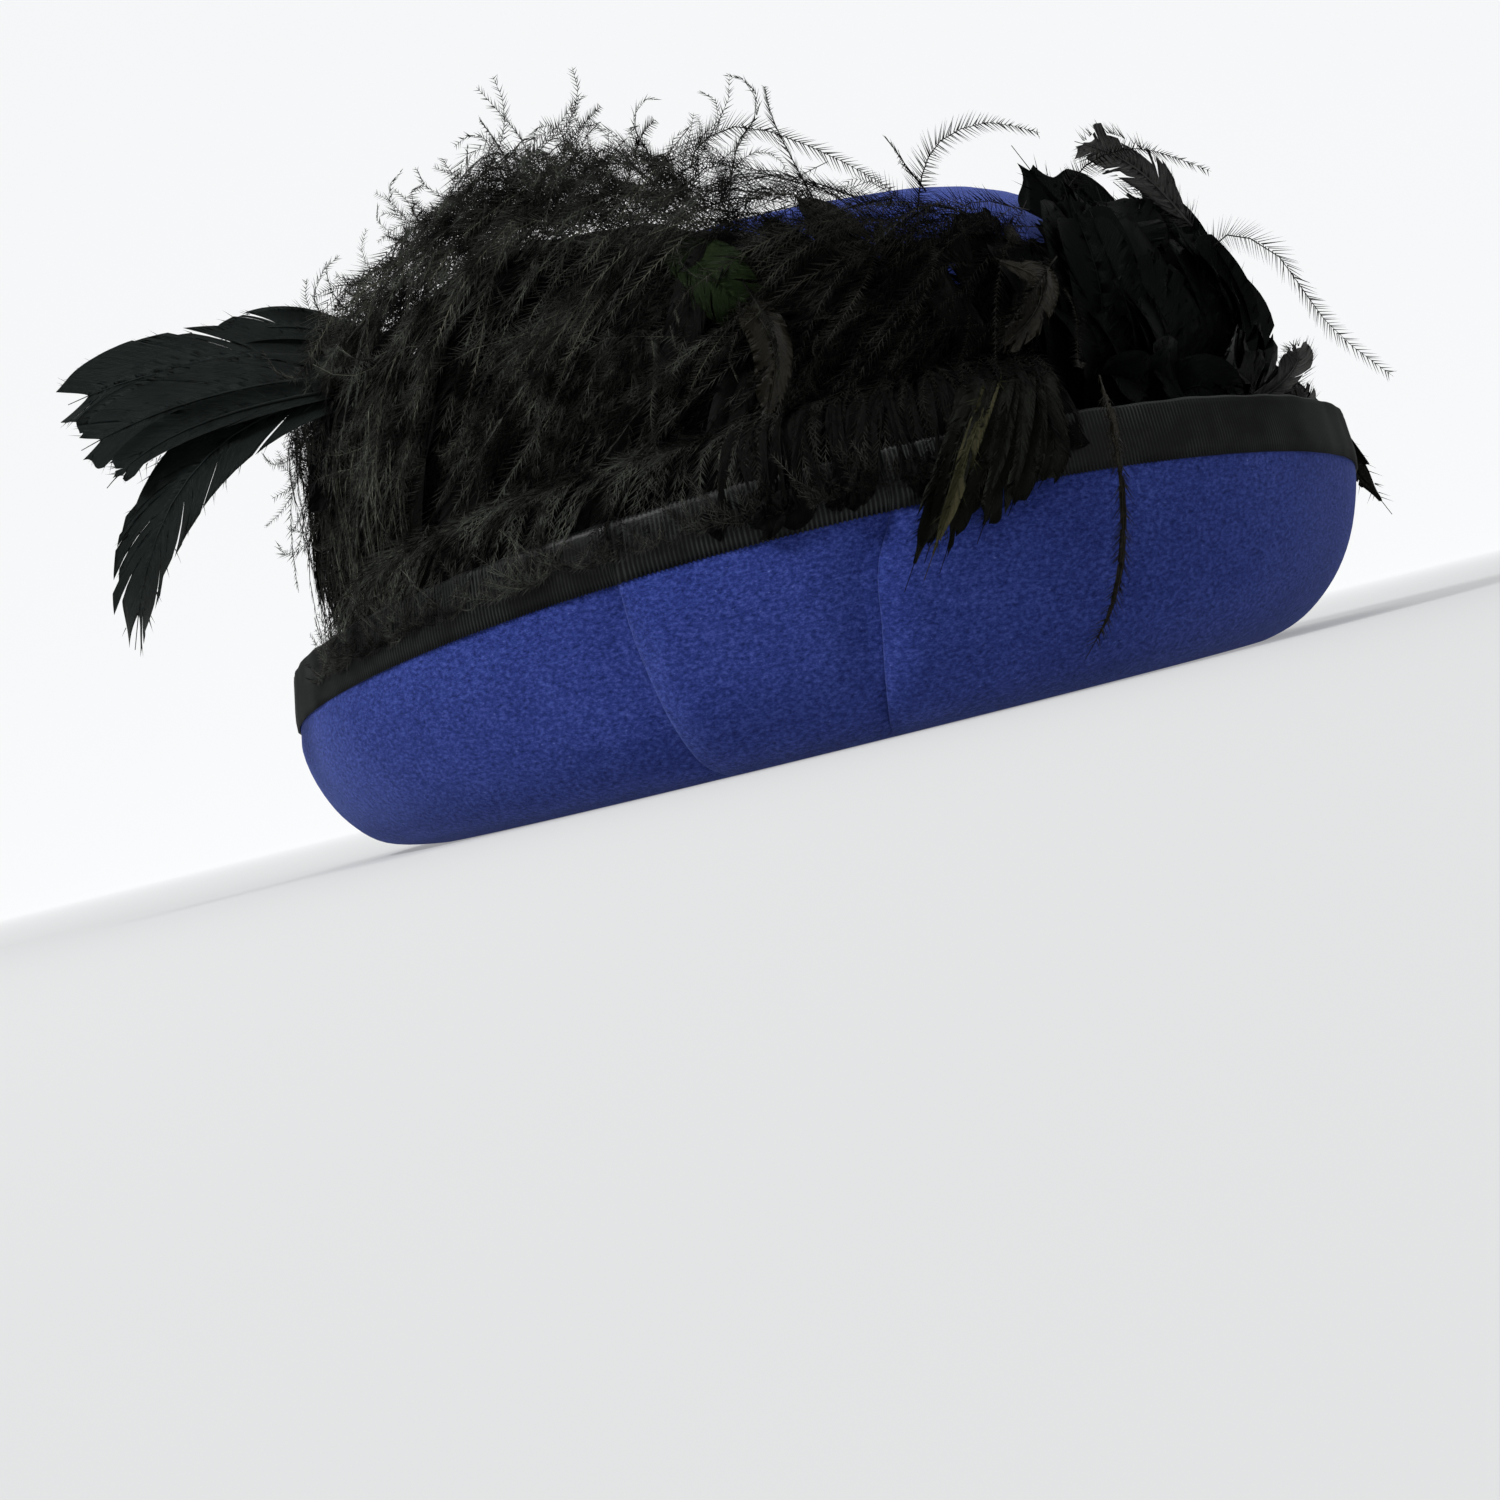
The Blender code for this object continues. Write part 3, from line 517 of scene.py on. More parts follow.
def arrays_of(mesh):
    """Points, triangles and UVs of a bmesh, which is then freed."""
    bmesh.ops.triangulate(mesh, faces=mesh.faces)
    faced_out(mesh).verts.index_update()
    points = np.array([vert.co[:] for vert in mesh.verts])
    corners = np.array([[vert.index for vert in face.verts] for face in mesh.faces])
    barb, out = mesh.verts.layers.float.get("barb"), mesh.verts.layers.float.get("out")
    uvs = np.array([[vert[barb], vert[out]] if barb else [0.0, 0.0] for vert in mesh.verts])
    mesh.free()
    return points, corners, uvs


def together(parts):
    """One set of points, triangles and UVs from many; a part's points may be many copies of one blank."""
    points, corners, uvs = [], [], []
    first = 0
    for part_points, part_corners, part_uvs in parts:
        copies = part_points.reshape(-1, *part_points.shape[-2:])
        starts = first + np.arange(len(copies)) * copies.shape[1]
        points.append(copies.reshape(-1, 3))
        corners.append((part_corners[None] + starts[:, None, None]).reshape(-1, 3))
        uvs.append(np.tile(part_uvs, (len(copies), 1)))
        first += points[-1].shape[0]
    return np.concatenate(points), np.concatenate(corners), np.concatenate(uvs)


def feather_piece(name, parts, material, node):
    """A piece joined from parts, with a UV map that runs along and out on the barbs."""
    points, corners, uvs = together(parts)
    data = bpy.data.meshes.new(name)
    data.vertices.add(len(points))
    data.vertices.foreach_set("co", (points * MM).astype(np.float32).ravel())
    data.loops.add(corners.size)
    data.loops.foreach_set("vertex_index", corners.astype(np.int32).ravel())
    data.polygons.add(len(corners))
    data.polygons.foreach_set("loop_start", np.arange(0, corners.size, 3, dtype=np.int32))
    data.update(calc_edges=True)
    layer = data.uv_layers.new(name="barbs")
    layer.data.foreach_set("uv", uvs[corners.ravel()].astype(np.float32).ravel())
    data.validate()
    piece_of(name, data, material, node)


def quill(length, root, tip, slices, sides=3):
    """A tapering quill along +Z."""
    return arrays_of(sliced(spike(root, tip, length, sides), length, slices))


def sliver():
    """A straight barb: a closed cone one unit long."""
    mesh = spike(1, 0, 1, 3)
    bmesh.ops.remove_doubles(mesh, verts=mesh.verts, dist=1e-4)
    return (*arrays_of(mesh), 1.0)


SLIVER = sliver()


def flue(seed, length, pairs, longest, girth, quill_root=0.14, lean=60.0, loose=1.0):
    """One straight ostrich flue: a quill and pairs of loose barbs, longest low down."""
    draw = np.random.default_rng(seed)
    count = 2 * pairs
    share = np.repeat((np.arange(pairs) + 0.5) / pairs, 2) + draw.normal(0, 0.25 / pairs, count)
    share = np.clip(BARBS_FROM + 0.95 * share, 0, 0.99)
    side = np.tile((-1.0, 1.0), pairs)
    size = longest * (FOOT_BARBS + (1 - FOOT_BARBS) * smooth_step(share / FULL_FROM))
    size *= (1 - TIP_LOSS * share ** LOSS_CURVE) * draw.uniform(*LENGTH_RANGE, count)
    leaning = np.radians(lean - TIP_LEAN * share + draw.normal(0, LEAN_STRAY * loose, count))
    waves = DROOP * np.sin(share * DROOP_WAVES + seed + side)
    droop = np.radians(waves + draw.normal(0, DROOP_STRAY * loose, count))
    root = np.stack([0 * share, 0 * share, share * length], -1)
    out = np.stack([side * np.sin(leaning) * np.cos(droop), np.sin(droop) * DROOP_DEPTH, np.cos(leaning)], -1)
    middle = root + out * size[:, None] * BARB_BEND
    tip = middle + unit(out + TIP_NUDGE) * size[:, None] * (1 - BARB_BEND)
    barbs = laid(SLIVER, np.stack([root, middle, tip], 1), np.tile(ACROSS_FLAT, (count, 1)), girth)
    stem_points, stem_corners, stem_uvs = quill(length, quill_root, 0.05, 8)
    return (*together([barbs, (stem_points, stem_corners, stem_uvs + 1)]), length)


def rows_of_paths(draw, count, first, last, root, middle, tip, swing, jitter, waves=1.0, points=10):
    """Paths of feathers from a band: places are shares of the trim's reach and height."""
    angle = draw.uniform(first, last, count)
    spread = draw.uniform(*swing, count) * np.clip((angle - BACK) / NEAR_BACK, -1, 1)
    reach_lift = [np.array(place) + draw.normal(0, 1, (count, 2)) * np.array(jitter) * weight
                  for place, weight in zip((root, middle, tip), JITTER_SHARES)]
    stations = np.array([on_trim(angle - spread * turn, place[:, 0], place[:, 1])
                         for turn, place in zip(SWING_SHARES, reach_lift)])
    share = np.linspace(0, 1, points)
    paths = smooth_through(stations, (0.0, 0.5, 1.0), share).transpose(1, 0, 2)
    sway = draw.normal(0, SWAY * waves, (count, 2, 3))
    phase = draw.uniform(0, 6.28, (count, 2, 1))
    for order in (0, 1):
        wave = np.sin(share[None, :] * (3.5 + 4 * order) + phase[:, order]) - np.sin(phase[:, order])
        paths += wave[..., None] * sway[:, order, None] * share[None, :, None] * (1.6 - order)
    return paths, angle - spread * 0.5


def curled(draw, paths, from_share, turn, chance):
    """The tips of some paths roll up, each round a side of its own."""
    count, steps = paths.shape[:2]
    share = np.linspace(0, 1, steps)
    start = np.searchsorted(share, from_share)
    ahead = unit(paths[:, start] - paths[:, start - 1])
    side = draw.normal(0, 1, (count, 3)) + np.array((0, 0, 0.6))
    side = unit(side - ahead * (side * ahead).sum(-1, keepdims=True))
    tail = np.minimum(np.linalg.norm(paths[:, -1] - paths[:, start], axis=-1), CURL_LONGEST)
    full = draw.uniform(*turn, count)
    rolls = draw.uniform(0, 1, count) < chance
    radius = tail / full
    for step in range(start, steps):
        theta = full * (share[step] - share[start]) / (1 - share[start])
        rolled = (paths[:, start] + ahead * (radius * np.sin(theta))[:, None]
                  + side * (radius * (1 - np.cos(theta)))[:, None])
        paths[:, step] = np.where(rolls[:, None], rolled, paths[:, step])
    return paths


def facing(draw, paths, angles, tumble):
    """The way barbs lie: across the path, in the plane of the trim, tumbled by so many degrees."""
    ahead = unit(paths[:, -1] - paths[:, 0])
    flat = unit(np.cross(ahead, oval_out(*CROWN_FOOT_SIZES, angles)))
    lift = np.cross(ahead, flat)
    turn = np.radians(draw.normal(0, tumble, len(paths)))[:, None]
    return flat * np.cos(turn) + lift * np.sin(turn)


def kept_clear(paths):
    """Points lifted out of the felt: off the trough's floor, and over the ribbon at the rim."""
    radius = np.hypot(paths[..., 0] / MOUTH[0], paths[..., 1] / MOUTH[1])
    floor = np.where(radius < 1, TROUGH_FLOOR, np.where(radius < OVER_RIBBON, RIM_AT_SIDES, 0))
    paths[..., 2] = np.maximum(paths[..., 2], floor)
    return paths


def ostrich_finish(name, low, high, sheen):
    """Dull barbs in lighter and darker locks on paler quills, painted darker towards the front as shade."""
    barbs = Finish(name, low, 0.55, Specular_IOR_Level=0.04, Sheen_Weight=sheen, Sheen_Roughness=0.5,
                   Sheen_Tint=(0.9, 0.86, 0.78, 1))
    locks = barbs.grain(barbs.coordinates(), 60, 4.0, 0.7)
    # Painted shade: the colour darkens towards the front, the side away from the key light.
    fade = barbs.node("ShaderNodeMapRange", Value=barbs.place("Y"), From_Min=-0.05, From_Max=0.05,
                      To_Min=0.05, To_Max=1.0)
    painted_shading = barbs.greys(fade.outputs["Result"], (0.0, 0), (1.0, 1))
    lit = barbs.ramp(barbs.place("X", "UV"), (0.4, (1, 1, 1)), (0.6, (2.3, 2.2, 2.0)))
    barbs.colour(barbs.multiply(barbs.ramp(locks, (0.42, low), (0.62, high)), painted_shading, lit))
    return barbs.material


OSTRICH = ostrich_finish("black_ostrich", (0.0018, 0.0020, 0.0018), (0.046, 0.050, 0.043), 0.02)
# The band's finish is near black: painted shade that fills the depths between the flues.
PAINTED_SHADE_BAND = ostrich_finish("band_down", (0.0004, 0.0004, 0.0004), (0.001, 0.001, 0.001), 0.0)
piece_of("ostrich_band", band(-29, 205, 3.0), PAINTED_SHADE_BAND, "ostrich_plume")

FLUES = {
    "fine": [flue(seed, length=62, pairs=46, longest=6.6, girth=0.15) for seed in range(6)],
    "long": [flue(seed, length=92, pairs=66, longest=6.8, girth=0.15, quill_root=0.17)
             for seed in range(10, 16)],
    "curl": [flue(seed, length=55, pairs=40, longest=6.6, girth=0.16, quill_root=0.24)
             for seed in range(20, 26)],
}
# Kind of flue, curl chance, count, angles, root, middle and tip (reach, lift), swing to the back, jitter
OSTRICH_ROWS = (
    ("fine", 0.1, 160, -28, 226, (0.45, 0.66), (0.94, 0.62), (1.06, 0.24), (14, 34), (0.08, 0.12)),
    ("long", 0.15, 80, -26, 100, (0.45, 0.94), (0.98, 0.84), (1.08, 0.36), (22, 50), (0.08, 0.09)),
    ("long", 0.15, 160, 110, 224, (0.45, 0.98), (0.98, 0.88), (1.10, 0.40), (30, 66), (0.08, 0.09)),
    ("long", 0.15, 110, 126, 222, (0.62, 0.66), (1.04, 0.56), (1.06, 0.12), (26, 56), (0.07, 0.10)),
    ("fine", 0.2, 50, -26, 100, (0.66, 0.38), (1.00, 0.34), (1.06, 0.08), (8, 30), (0.08, 0.08)),
    ("long", 0.3, 36, 66, 178, (0.35, 0.94), (0.52, 1.04), (0.62, 0.98), (-44, 60), (0.14, 0.03)),
    ("fine", 0.2, 60, 146, 178, (0.42, 0.98), (0.74, 1.05), (0.98, 0.84), (10, 30), (0.10, 0.05)),
    ("curl", 0.6, 60, 50, 184, (0.40, 0.90), (0.60, 1.02), (0.66, 1.01), (-40, 46), (0.16, 0.04)),
    ("curl", 0.5, 30, 60, 180, (0.15, 0.90), (0.00, 1.02), (-0.30, 1.03), (-40, 40), (0.16, 0.04)),
    ("curl", 0.8, 34, 96, 164, (0.50, 0.90), (0.70, 1.03), (0.86, 1.08), (-10, 30), (0.14, 0.04)),
    ("curl", 0.8, 34, 132, 178, (0.20, 0.94), (0.10, 1.10), (0.05, 1.14), (-30, 30), (0.16, 0.04)),
)
FLUE_REGIONS = (("left", -90, 52), ("back_left", 52, 92), ("back_right", 92, 128), ("right", 128, 164),
                ("front_right", 164, 270))
draw = np.random.default_rng(7)
flue_parts = {region: [] for region, low, high in FLUE_REGIONS}
for kind, chance, count, *row in OSTRICH_ROWS:
    paths, angles = rows_of_paths(draw, count, *row)
    paths = kept_clear(curled(draw, paths, 0.5, (0.6, 3.0), chance))
    across = facing(draw, paths, angles, 38)
    girth = draw.uniform(0.8, 1.25, count)
    for variant, blank in enumerate(FLUES[kind]):
        mine = np.arange(count) % len(FLUES[kind]) == variant
        for region, low, high in FLUE_REGIONS:
            chosen = mine & (angles >= low) & (angles < high)
            if chosen.any():
                flue_parts[region].append(laid(blank, paths[chosen], across[chosen], girth[chosen]))
for region, parts in flue_parts.items():
    feather_piece(f"ostrich_flues_{region}", parts, OSTRICH, "ostrich_plume")

# The arcs.
# A few paler flues of the same ostrich, bound in last, so that they lie in long arcs over the others on the
# wearer's right.
PALE = ostrich_finish("pale_ostrich", (0.006, 0.006, 0.005), (0.060, 0.060, 0.050), 0.05)
# Count, angles, root, middle and tip (reach, lift), swing, jitter
ARC_ROW = (22, 140, 222, (0.70, 0.96), (1.14, 0.80), (1.16, 0.40), (8, 56), (0.05, 0.10))
draw = np.random.default_rng(9)
paths, angles = rows_of_paths(draw, *ARC_ROW, waves=1.6)
paths = kept_clear(curled(draw, paths, 0.6, (0.8, 2.4), 0.4))
across = facing(draw, paths, angles, 20)
arc_parts = [laid(blank, paths[first::len(FLUES["long"])], across[first::len(FLUES["long"])])
             for first, blank in enumerate(FLUES["long"])]
feather_piece("ostrich_arcs", arc_parts, PALE, "ostrich_plume")

# The hanging quills.
# Ostrich quills with their barbs stripped short, bound among the flues at the back; they hang straight down
# over the brim's trough.
STRIPPED = [flue(seed, length=66, pairs=22, longest=3.5, girth=0.13, quill_root=0.30, lean=22)
            for seed in range(500, 503)]
# Count, angles, root, middle and tip (reach, lift), swing, jitter
QUILL_ROW = (210, 60, 130, (0.80, 0.74), (1.08, 0.46), (1.10, 0.05), (0, 8), (0.05, 0.10))
draw = np.random.default_rng(11)
paths, angles = rows_of_paths(draw, *QUILL_ROW, waves=0.5)
quill_parts = []
for first, blank in enumerate(STRIPPED):
    mine = paths[first::len(STRIPPED)]
    across = facing(draw, mine, angles[first::len(STRIPPED)], 60)
    quill_parts.append(laid(blank, kept_clear(mine), across, draw.uniform(0.8, 1.2, len(mine))))
feather_piece("hanging_quills", quill_parts, OSTRICH, "ostrich_plume")

# The coque feathers in front.
# Broad glossy black body feathers of a cockerel, stitched in overlapping rows to a second band, roots down in
# the brim's trough and tips up over the crown.
# Thickness of a web, share of the quill that bears it, where it starts, how freely its barbs slide and lift
WEB_THICK, WEB_LENGTH, WEB_FROM, SLIDE, LIFT = 0.14, 0.86, 0.04, 0.9, 0.5
# A web is fixed near the quill, and its loose barbs start this share of its width out
FIXED_OUT, LOOSE_FROM = 0.9, 0.86


def outline(share, blunt):
    """Width of a feather's web along its quill, as a share of its widest."""
    web = np.sin(math.pi * (0.10 + 0.78 * share ** 0.85)) ** 0.75
    return web * (1 - (1 - blunt) * smooth_step((share - 0.80) / 0.20) * 0.85)


def barb_reach(length, width, share, outward, slant):
    """How far along the quill a point of a barb lies; barbs lean to the tip, more so near it."""
    forward = width / np.tan(np.radians(slant - 12 * share)) * outward ** 1.25 * (1 - 0.5 * share)
    return share * length * WEB_LENGTH + length * WEB_FROM + forward


def loose_barbs(root, out, size, nudge, girth):
    """Single barbs from their roots, bent a little to the tip."""
    paths = np.stack([root, root + out * size * 0.5, root + out * size + np.array((0, 0, nudge))], 1)
    return laid(SLIVER, paths, np.tile(ACROSS_FLAT, (len(root), 1)), girth)


def vane(seed, length, half_width, barbs, spans, splits, camber, slant=42.0, blunt=0.0, quill_root=0.7,
         fuzz=24, ragged=0.07, loose_count=50):
    """One straight feather: two webs of hooked barbs, split here and there, a quill, down and loose barbs."""
    draw = np.random.default_rng(seed)

    def cell(co):
        return (co.x + 1) / 2 * spans, (co.y + 1) / 2 * barbs

    parts = []
    for side in (-1, 1):
        mesh = bmesh.new()
        bmesh.ops.create_grid(mesh, x_segments=spans, y_segments=barbs, size=1)
        gaps = np.sort(draw.choice(np.arange(2, barbs - 1), size=splits, replace=False))
        parting = []
        for edge in mesh.edges:
            (first_out, first_row), (last_out, last_row) = (cell(vert.co) for vert in edge.verts)
            level = abs(first_row - last_row) < 0.01 and round(first_row) in gaps
            if level and min(first_out, last_out) > FIXED_OUT:
                parting.append(edge)
        bmesh.ops.split_edges(mesh, edges=parting)
        barb_layer = mesh.verts.layers.float.new("barb")
        out_layer = mesh.verts.layers.float.new("out")
        reach_of_group = draw.normal(0, ragged, splits + 1)
        slide_of_group = draw.normal(0, SLIDE, splits + 1)
        lift_of_group = draw.normal(0, LIFT, splits + 1)
        places = {}
        row_of = {vert: np.mean([cell(face.calc_center_median())[1] for face in vert.link_faces])
                  for vert in mesh.verts}
        for vert in mesh.verts:
            out, row = cell(vert.co)
            group = int(np.searchsorted(gaps, row_of[vert]))
            free = max(out - 1, 0) / (spans - 1)
            share, outward = row / barbs, out / spans
            width = half_width * outline(share, blunt) * (1 + reach_of_group[group] * free)
            away = width * outward
            along = barb_reach(length, width, share, outward, slant) + slide_of_group[group] * free
            deep = -camber * (away / half_width) ** 2 + lift_of_group[group] * free ** 2 * outward
            places[vert] = (side * away, deep, along)
            vert[barb_layer] = share * length
            vert[out_layer] = outward
        for vert, place in places.items():
            vert.co = place
        bmesh.ops.solidify(mesh, geom=mesh.faces, thickness=WEB_THICK)
        parts.append(arrays_of(mesh))
    parts.append(quill(length * 0.97, quill_root, 0.12, 12, 5))
    share = draw.uniform(0, 1, fuzz) ** 1.5
    side = draw.choice((-1.0, 1.0), fuzz)
    root = np.stack([side * draw.uniform(0, 0.5, fuzz), 0 * share, share * length * 0.3], -1)
    out = unit(np.stack([side * 1.0, draw.normal(0, 0.5, fuzz), draw.uniform(0.1, 1.0, fuzz)], -1))
    size = half_width * draw.uniform(0.7, 1.3, fuzz)[:, None]
    parts.append(loose_barbs(root, out, size, 1.5, 0.12))
    share = draw.uniform(0.05, 1.0, loose_count)
    side = draw.choice((-1.0, 1.0), loose_count)
    width = half_width * outline(share, blunt)
    root = np.stack([side * width * LOOSE_FROM, -camber * 0.8 * (width / half_width) ** 2,
                     barb_reach(length, width, share, LOOSE_FROM, slant)], -1)
    out = [side * 0.8, draw.normal(0, 0.35, loose_count), draw.uniform(0.6, 1.3, loose_count)]
    size = draw.uniform(2.5, 5.5, loose_count)[:, None]
    parts.append(loose_barbs(root, unit(np.stack(out, -1)), size, 0.7, 0.16))
    return (*together(parts), length)


def vane_finish(name, dark, light, roughness, tint=(1, 1, 1), gloss=0.06):
    """Glossy web of a feather: fine parallel barbs that follow its UVs, in darker and lighter patches."""
    web = Finish(name, dark, roughness, Specular_IOR_Level=gloss, Specular_Tint=(*tint, 1))
    barbs = web.grain(web.coordinates("UV", (1, 0.35, 1)), 2.4, 3.0, 0.7)
    patches = web.greys(web.grain(web.coordinates(), 70, 2.0), (0.3, 0.7), (0.7, 1.3))
    web.colour(web.multiply(web.ramp(barbs, (0.3, dark), (0.72, light)), patches))
    web.bump(barbs, 0.55, 0.0006)
    return web.material


def shared_out(draw, blanks, paths, across, sizes):
    """Parts on the paths, which the blanks take in turn, each in a size drawn from a range."""
    parts = []
    for first, blank in enumerate(blanks):
        mine = paths[first::len(blanks)]
        parts.append(laid(blank, mine, across[first::len(blanks)], draw.uniform(*sizes, len(mine))))
    return parts


COQUE = vane_finish("black_coque", (0.0004, 0.0005, 0.0005), (0.0022, 0.0026, 0.0023), 0.42,
                    (0.85, 1.0, 0.95), 0.03)
# The coque band has the same near-black finish: painted shade in the depths between the feathers.
piece_of("coque_band", band(209, 325, 2.0), PAINTED_SHADE_BAND, "coque_pad")
LEAVES = [vane(seed, length=78, half_width=14.5, barbs=20, spans=3, splits=2, camber=3.5, fuzz=10,
               ragged=0.03, loose_count=40) for seed in range(100, 105)]
# Sizes, count, angles, root, middle and tip (reach, lift), swing, jitter
COQUE_ROWS = (
    ((0.8, 1.15), 24, 212, 328, (0.45, 0.08), (0.92, 0.56), (0.45, 0.98), (-9, 9), (0.06, 0.06)),
    ((0.8, 1.15), 38, 214, 326, (0.66, 0.10), (1.12, 0.55), (0.84, 0.95), (-8, 8), (0.05, 0.06)),
    ((0.56, 0.805), 22, 212, 326, (0.85, 0.20), (1.20, 0.38), (1.32, 0.34), (-10, 12), (0.08, 0.06)),
    ((0.8, 1.15), 18, 228, 318, (0.40, 0.56), (0.62, 0.94), (0.10, 1.08), (-12, 10), (0.08, 0.05)),
)
draw = np.random.default_rng(21)
leaf_parts = []
for sizes, *row in COQUE_ROWS:
    paths, angles = rows_of_paths(draw, *row, waves=0.7, points=12)
    leaf_parts += shared_out(draw, LEAVES, paths, facing(draw, paths, angles, 14), sizes)
feather_piece("coque_feathers", leaf_parts, COQUE, "coque_pad")

# The soft feathers.
# Small black body feathers with downy, open webs, bound in between the ostrich flues all round the trim, so
# that the flues stand off the band.
SOFT = vane_finish("soft_black", (0.0005, 0.0006, 0.0005), (0.0046, 0.0050, 0.0042), 0.5, gloss=0.03)
SOFT_LEAVES = [vane(seed, length=56, half_width=6.0, barbs=15, spans=2, splits=5, camber=2.0, slant=28,
                    blunt=0.1, quill_root=0.25, fuzz=8, ragged=0.2, loose_count=30)
               for seed in range(150, 155)]
# Count, angles, root, middle and tip (reach, lift), swing, jitter
SOFT_ROWS = (
    (40, -24, 224, (0.50, 0.60), (0.92, 0.54), (0.98, 0.20), (10, 40), (0.06, 0.14)),
    (44, -20, 224, (0.40, 0.86), (0.86, 0.76), (0.96, 0.40), (16, 50), (0.06, 0.08)),
    (16, 186, 226, (0.40, 0.30), (0.80, 0.66), (0.84, 0.96), (-4, 24), (0.08, 0.06)),
)
soft_parts = []
for row in SOFT_ROWS:
    paths, angles = rows_of_paths(draw, *row)
    paths = kept_clear(curled(draw, paths, 0.6, (0.3, 1.4), 0.5))
    soft_parts += shared_out(draw, SOFT_LEAVES, paths, facing(draw, paths, angles, 26), (0.6, 1.1))
feather_piece("soft_feathers", soft_parts, SOFT, "ostrich_plume")

# The large coque feathers.
# Ten of the biggest body feathers, stitched on last over the rows in front and on the wearer's right. They
# are the ones that the eye meets, so each has its own place.
NEAR_SIDE, FRONT = (-1.0, 0.0, 0.15), (0.15, -1.0, 0.2)
# Seed, stations from root to tip, half width, way the face looks, barbs, spans across a web, splits
LARGE_FEATHERS = (
    (601, ((-44, -136, 74), (-52, -121, 98), (-54, -103, 128), (-50, -85, 169)), 11.5, NEAR_SIDE, 44, 4, 3),
    (602, ((-34, -130, 80), (-34, -135, 104), (-32, -132, 128), (-30, -122, 148)), 8, NEAR_SIDE, 40, 4, 3),
    (603, ((-36, -118, 92), (-36, -114, 118), (-32, -106, 144), (-28, -94, 158)), 8, NEAR_SIDE, 40, 4, 4),
    (605, ((-90, -96, 80), (-98, -84, 104), (-98, -70, 126), (-92, -58, 150)), 9, NEAR_SIDE, 36, 3, 5),
    (606, ((-84, -112, 78), (-88, -106, 98), (-84, -98, 120), (-76, -94, 140)), 9, NEAR_SIDE, 36, 3, 4),
    (641, ((-16, -134, 84), (-16, -138, 106), (-16, -134, 130), (-14, -118, 154)), 11, FRONT, 36, 3, 4),
    (642, ((4, -134, 84), (5, -138, 106), (6, -134, 130), (6, -119, 153)), 11, FRONT, 36, 3, 4),
    (643, ((22, -134, 84), (25, -138, 106), (27, -133, 130), (27, -119, 152)), 11, FRONT, 36, 3, 4),
    (644, ((40, -130, 82), (46, -133, 104), (48, -128, 128), (46, -114, 150)), 11, FRONT, 36, 3, 4),
    (645, ((60, -122, 80), (66, -124, 102), (68, -117, 124), (64, -104, 144)), 11, FRONT, 36, 3, 4),
)


def through(stations, steps=16):
    """A smooth path through stations, read at even steps."""
    return smooth_through(stations, range(len(stations)), np.linspace(0, len(stations) - 1, steps))


def length_of(path):
    return np.linalg.norm(np.diff(path, axis=0), axis=1).sum()


def placed(seed, stations, half_width, looks, barbs=30, spans=3, splits=4, camber=2.0, slant=36, blunt=0.2,
           quill_root=0.5, **loose):
    """One feather along the stations that it passes, its face looking a given way."""
    path = through(stations)
    blank = vane(seed, length_of(path), half_width, barbs, spans, splits, camber, slant, blunt, quill_root,
                 **{"ragged": 0.08, **loose})
    return laid(blank, path[None], np.cross(path[-1] - path[0], looks)[None])


feather_piece("coque_show_feathers", [placed(*row) for row in LARGE_FEATHERS], COQUE, "coque_pad")

# The down in front.
# Grey downy tips of body feathers, which the stitching holds only at the root, so they turn up against the
# light in front.
DOWN = vane_finish("grey_down", (0.004, 0.004, 0.004), (0.060, 0.061, 0.058), 0.5, gloss=0.03)
down_parts = [
    placed(604, ((-58, -128, 70), (-60, -144, 73), (-60, -154, 80), (-58, -153, 87)),
           4.2, NEAR_SIDE, 24, 3, 6, fuzz=50, ragged=0.2, loose_count=90),
    placed(607, ((-34, -137, 130), (-36, -128, 146), (-38, -118, 157), (-40, -106, 164)),
           6.5, NEAR_SIDE, 30, 3, 8, fuzz=60, ragged=0.2, loose_count=120),
    placed(608, ((-60, -134, 62), (-62, -146, 64), (-62, -152, 68), (-60, -152, 74)),
           3.0, NEAR_SIDE, 20, 3, 5, fuzz=50, ragged=0.2, loose_count=60),
]
feather_piece("front_down", down_parts, DOWN, "coque_pad")

# The green and the brown feathers.
# A few cockerel feathers that aren't quite black, bound in among the flues on the wearer's right. One has
# worked loose, a bare strand that hangs over the ribbon down to the foot of the brim.
GREEN = vane_finish("green_black", (0.0005, 0.0009, 0.0004), (0.0052, 0.0080, 0.0030), 0.4,
                    (0.6, 1.0, 0.4), 0.10)
GREEN_STATIONS = ((-111, 21, 154), (-125, 19, 147), (-131.5, 13, 137), (-131, 6, 125))
green_part = placed(611, GREEN_STATIONS, 9.5, (-1, 0, 0.4), 40, 3, 5)
feather_piece("green_feather", [green_part], GREEN, "ostrich_plume")
BROWN = vane_finish("brown_black", (0.0013, 0.0012, 0.0008), (0.0115, 0.0102, 0.0064), 0.42, gloss=0.08)
STRAND_STATIONS = ((-140, -84, 84), (-158, -82, 66), (-160, -78, 41), (-158, -70, 21), (-150, -59, 7))
brown_parts = [
    placed(621, ((-104, -16, 158), (-112, -22, 148), (-116, -27, 136), (-114, -27, 122)),
           6.5, (-1, 0, 0.3), 26, 3, 3),
    placed(622, ((-120, 10, 132), (-134, 4, 124), (-138, 2, 110), (-136, 12, 88)),
           5, (-1, 0.2, 0.3), 30, 3, 6),
    placed(623, ((-112, -66, 126), (-118, -77, 116), (-120, -72, 106), (-118, -58, 98)),
           4.5, (-1, 0, 0.4), 26, 3, 6),
    placed(624, STRAND_STATIONS, 0.8, (-1, 0, 0), 60, 2, 10, camber=0.3, slant=24, blunt=0.1,
           quill_root=0.25, fuzz=30, ragged=0.3, loose_count=170),
]
feather_piece("brown_feathers", brown_parts, BROWN, "ostrich_plume")

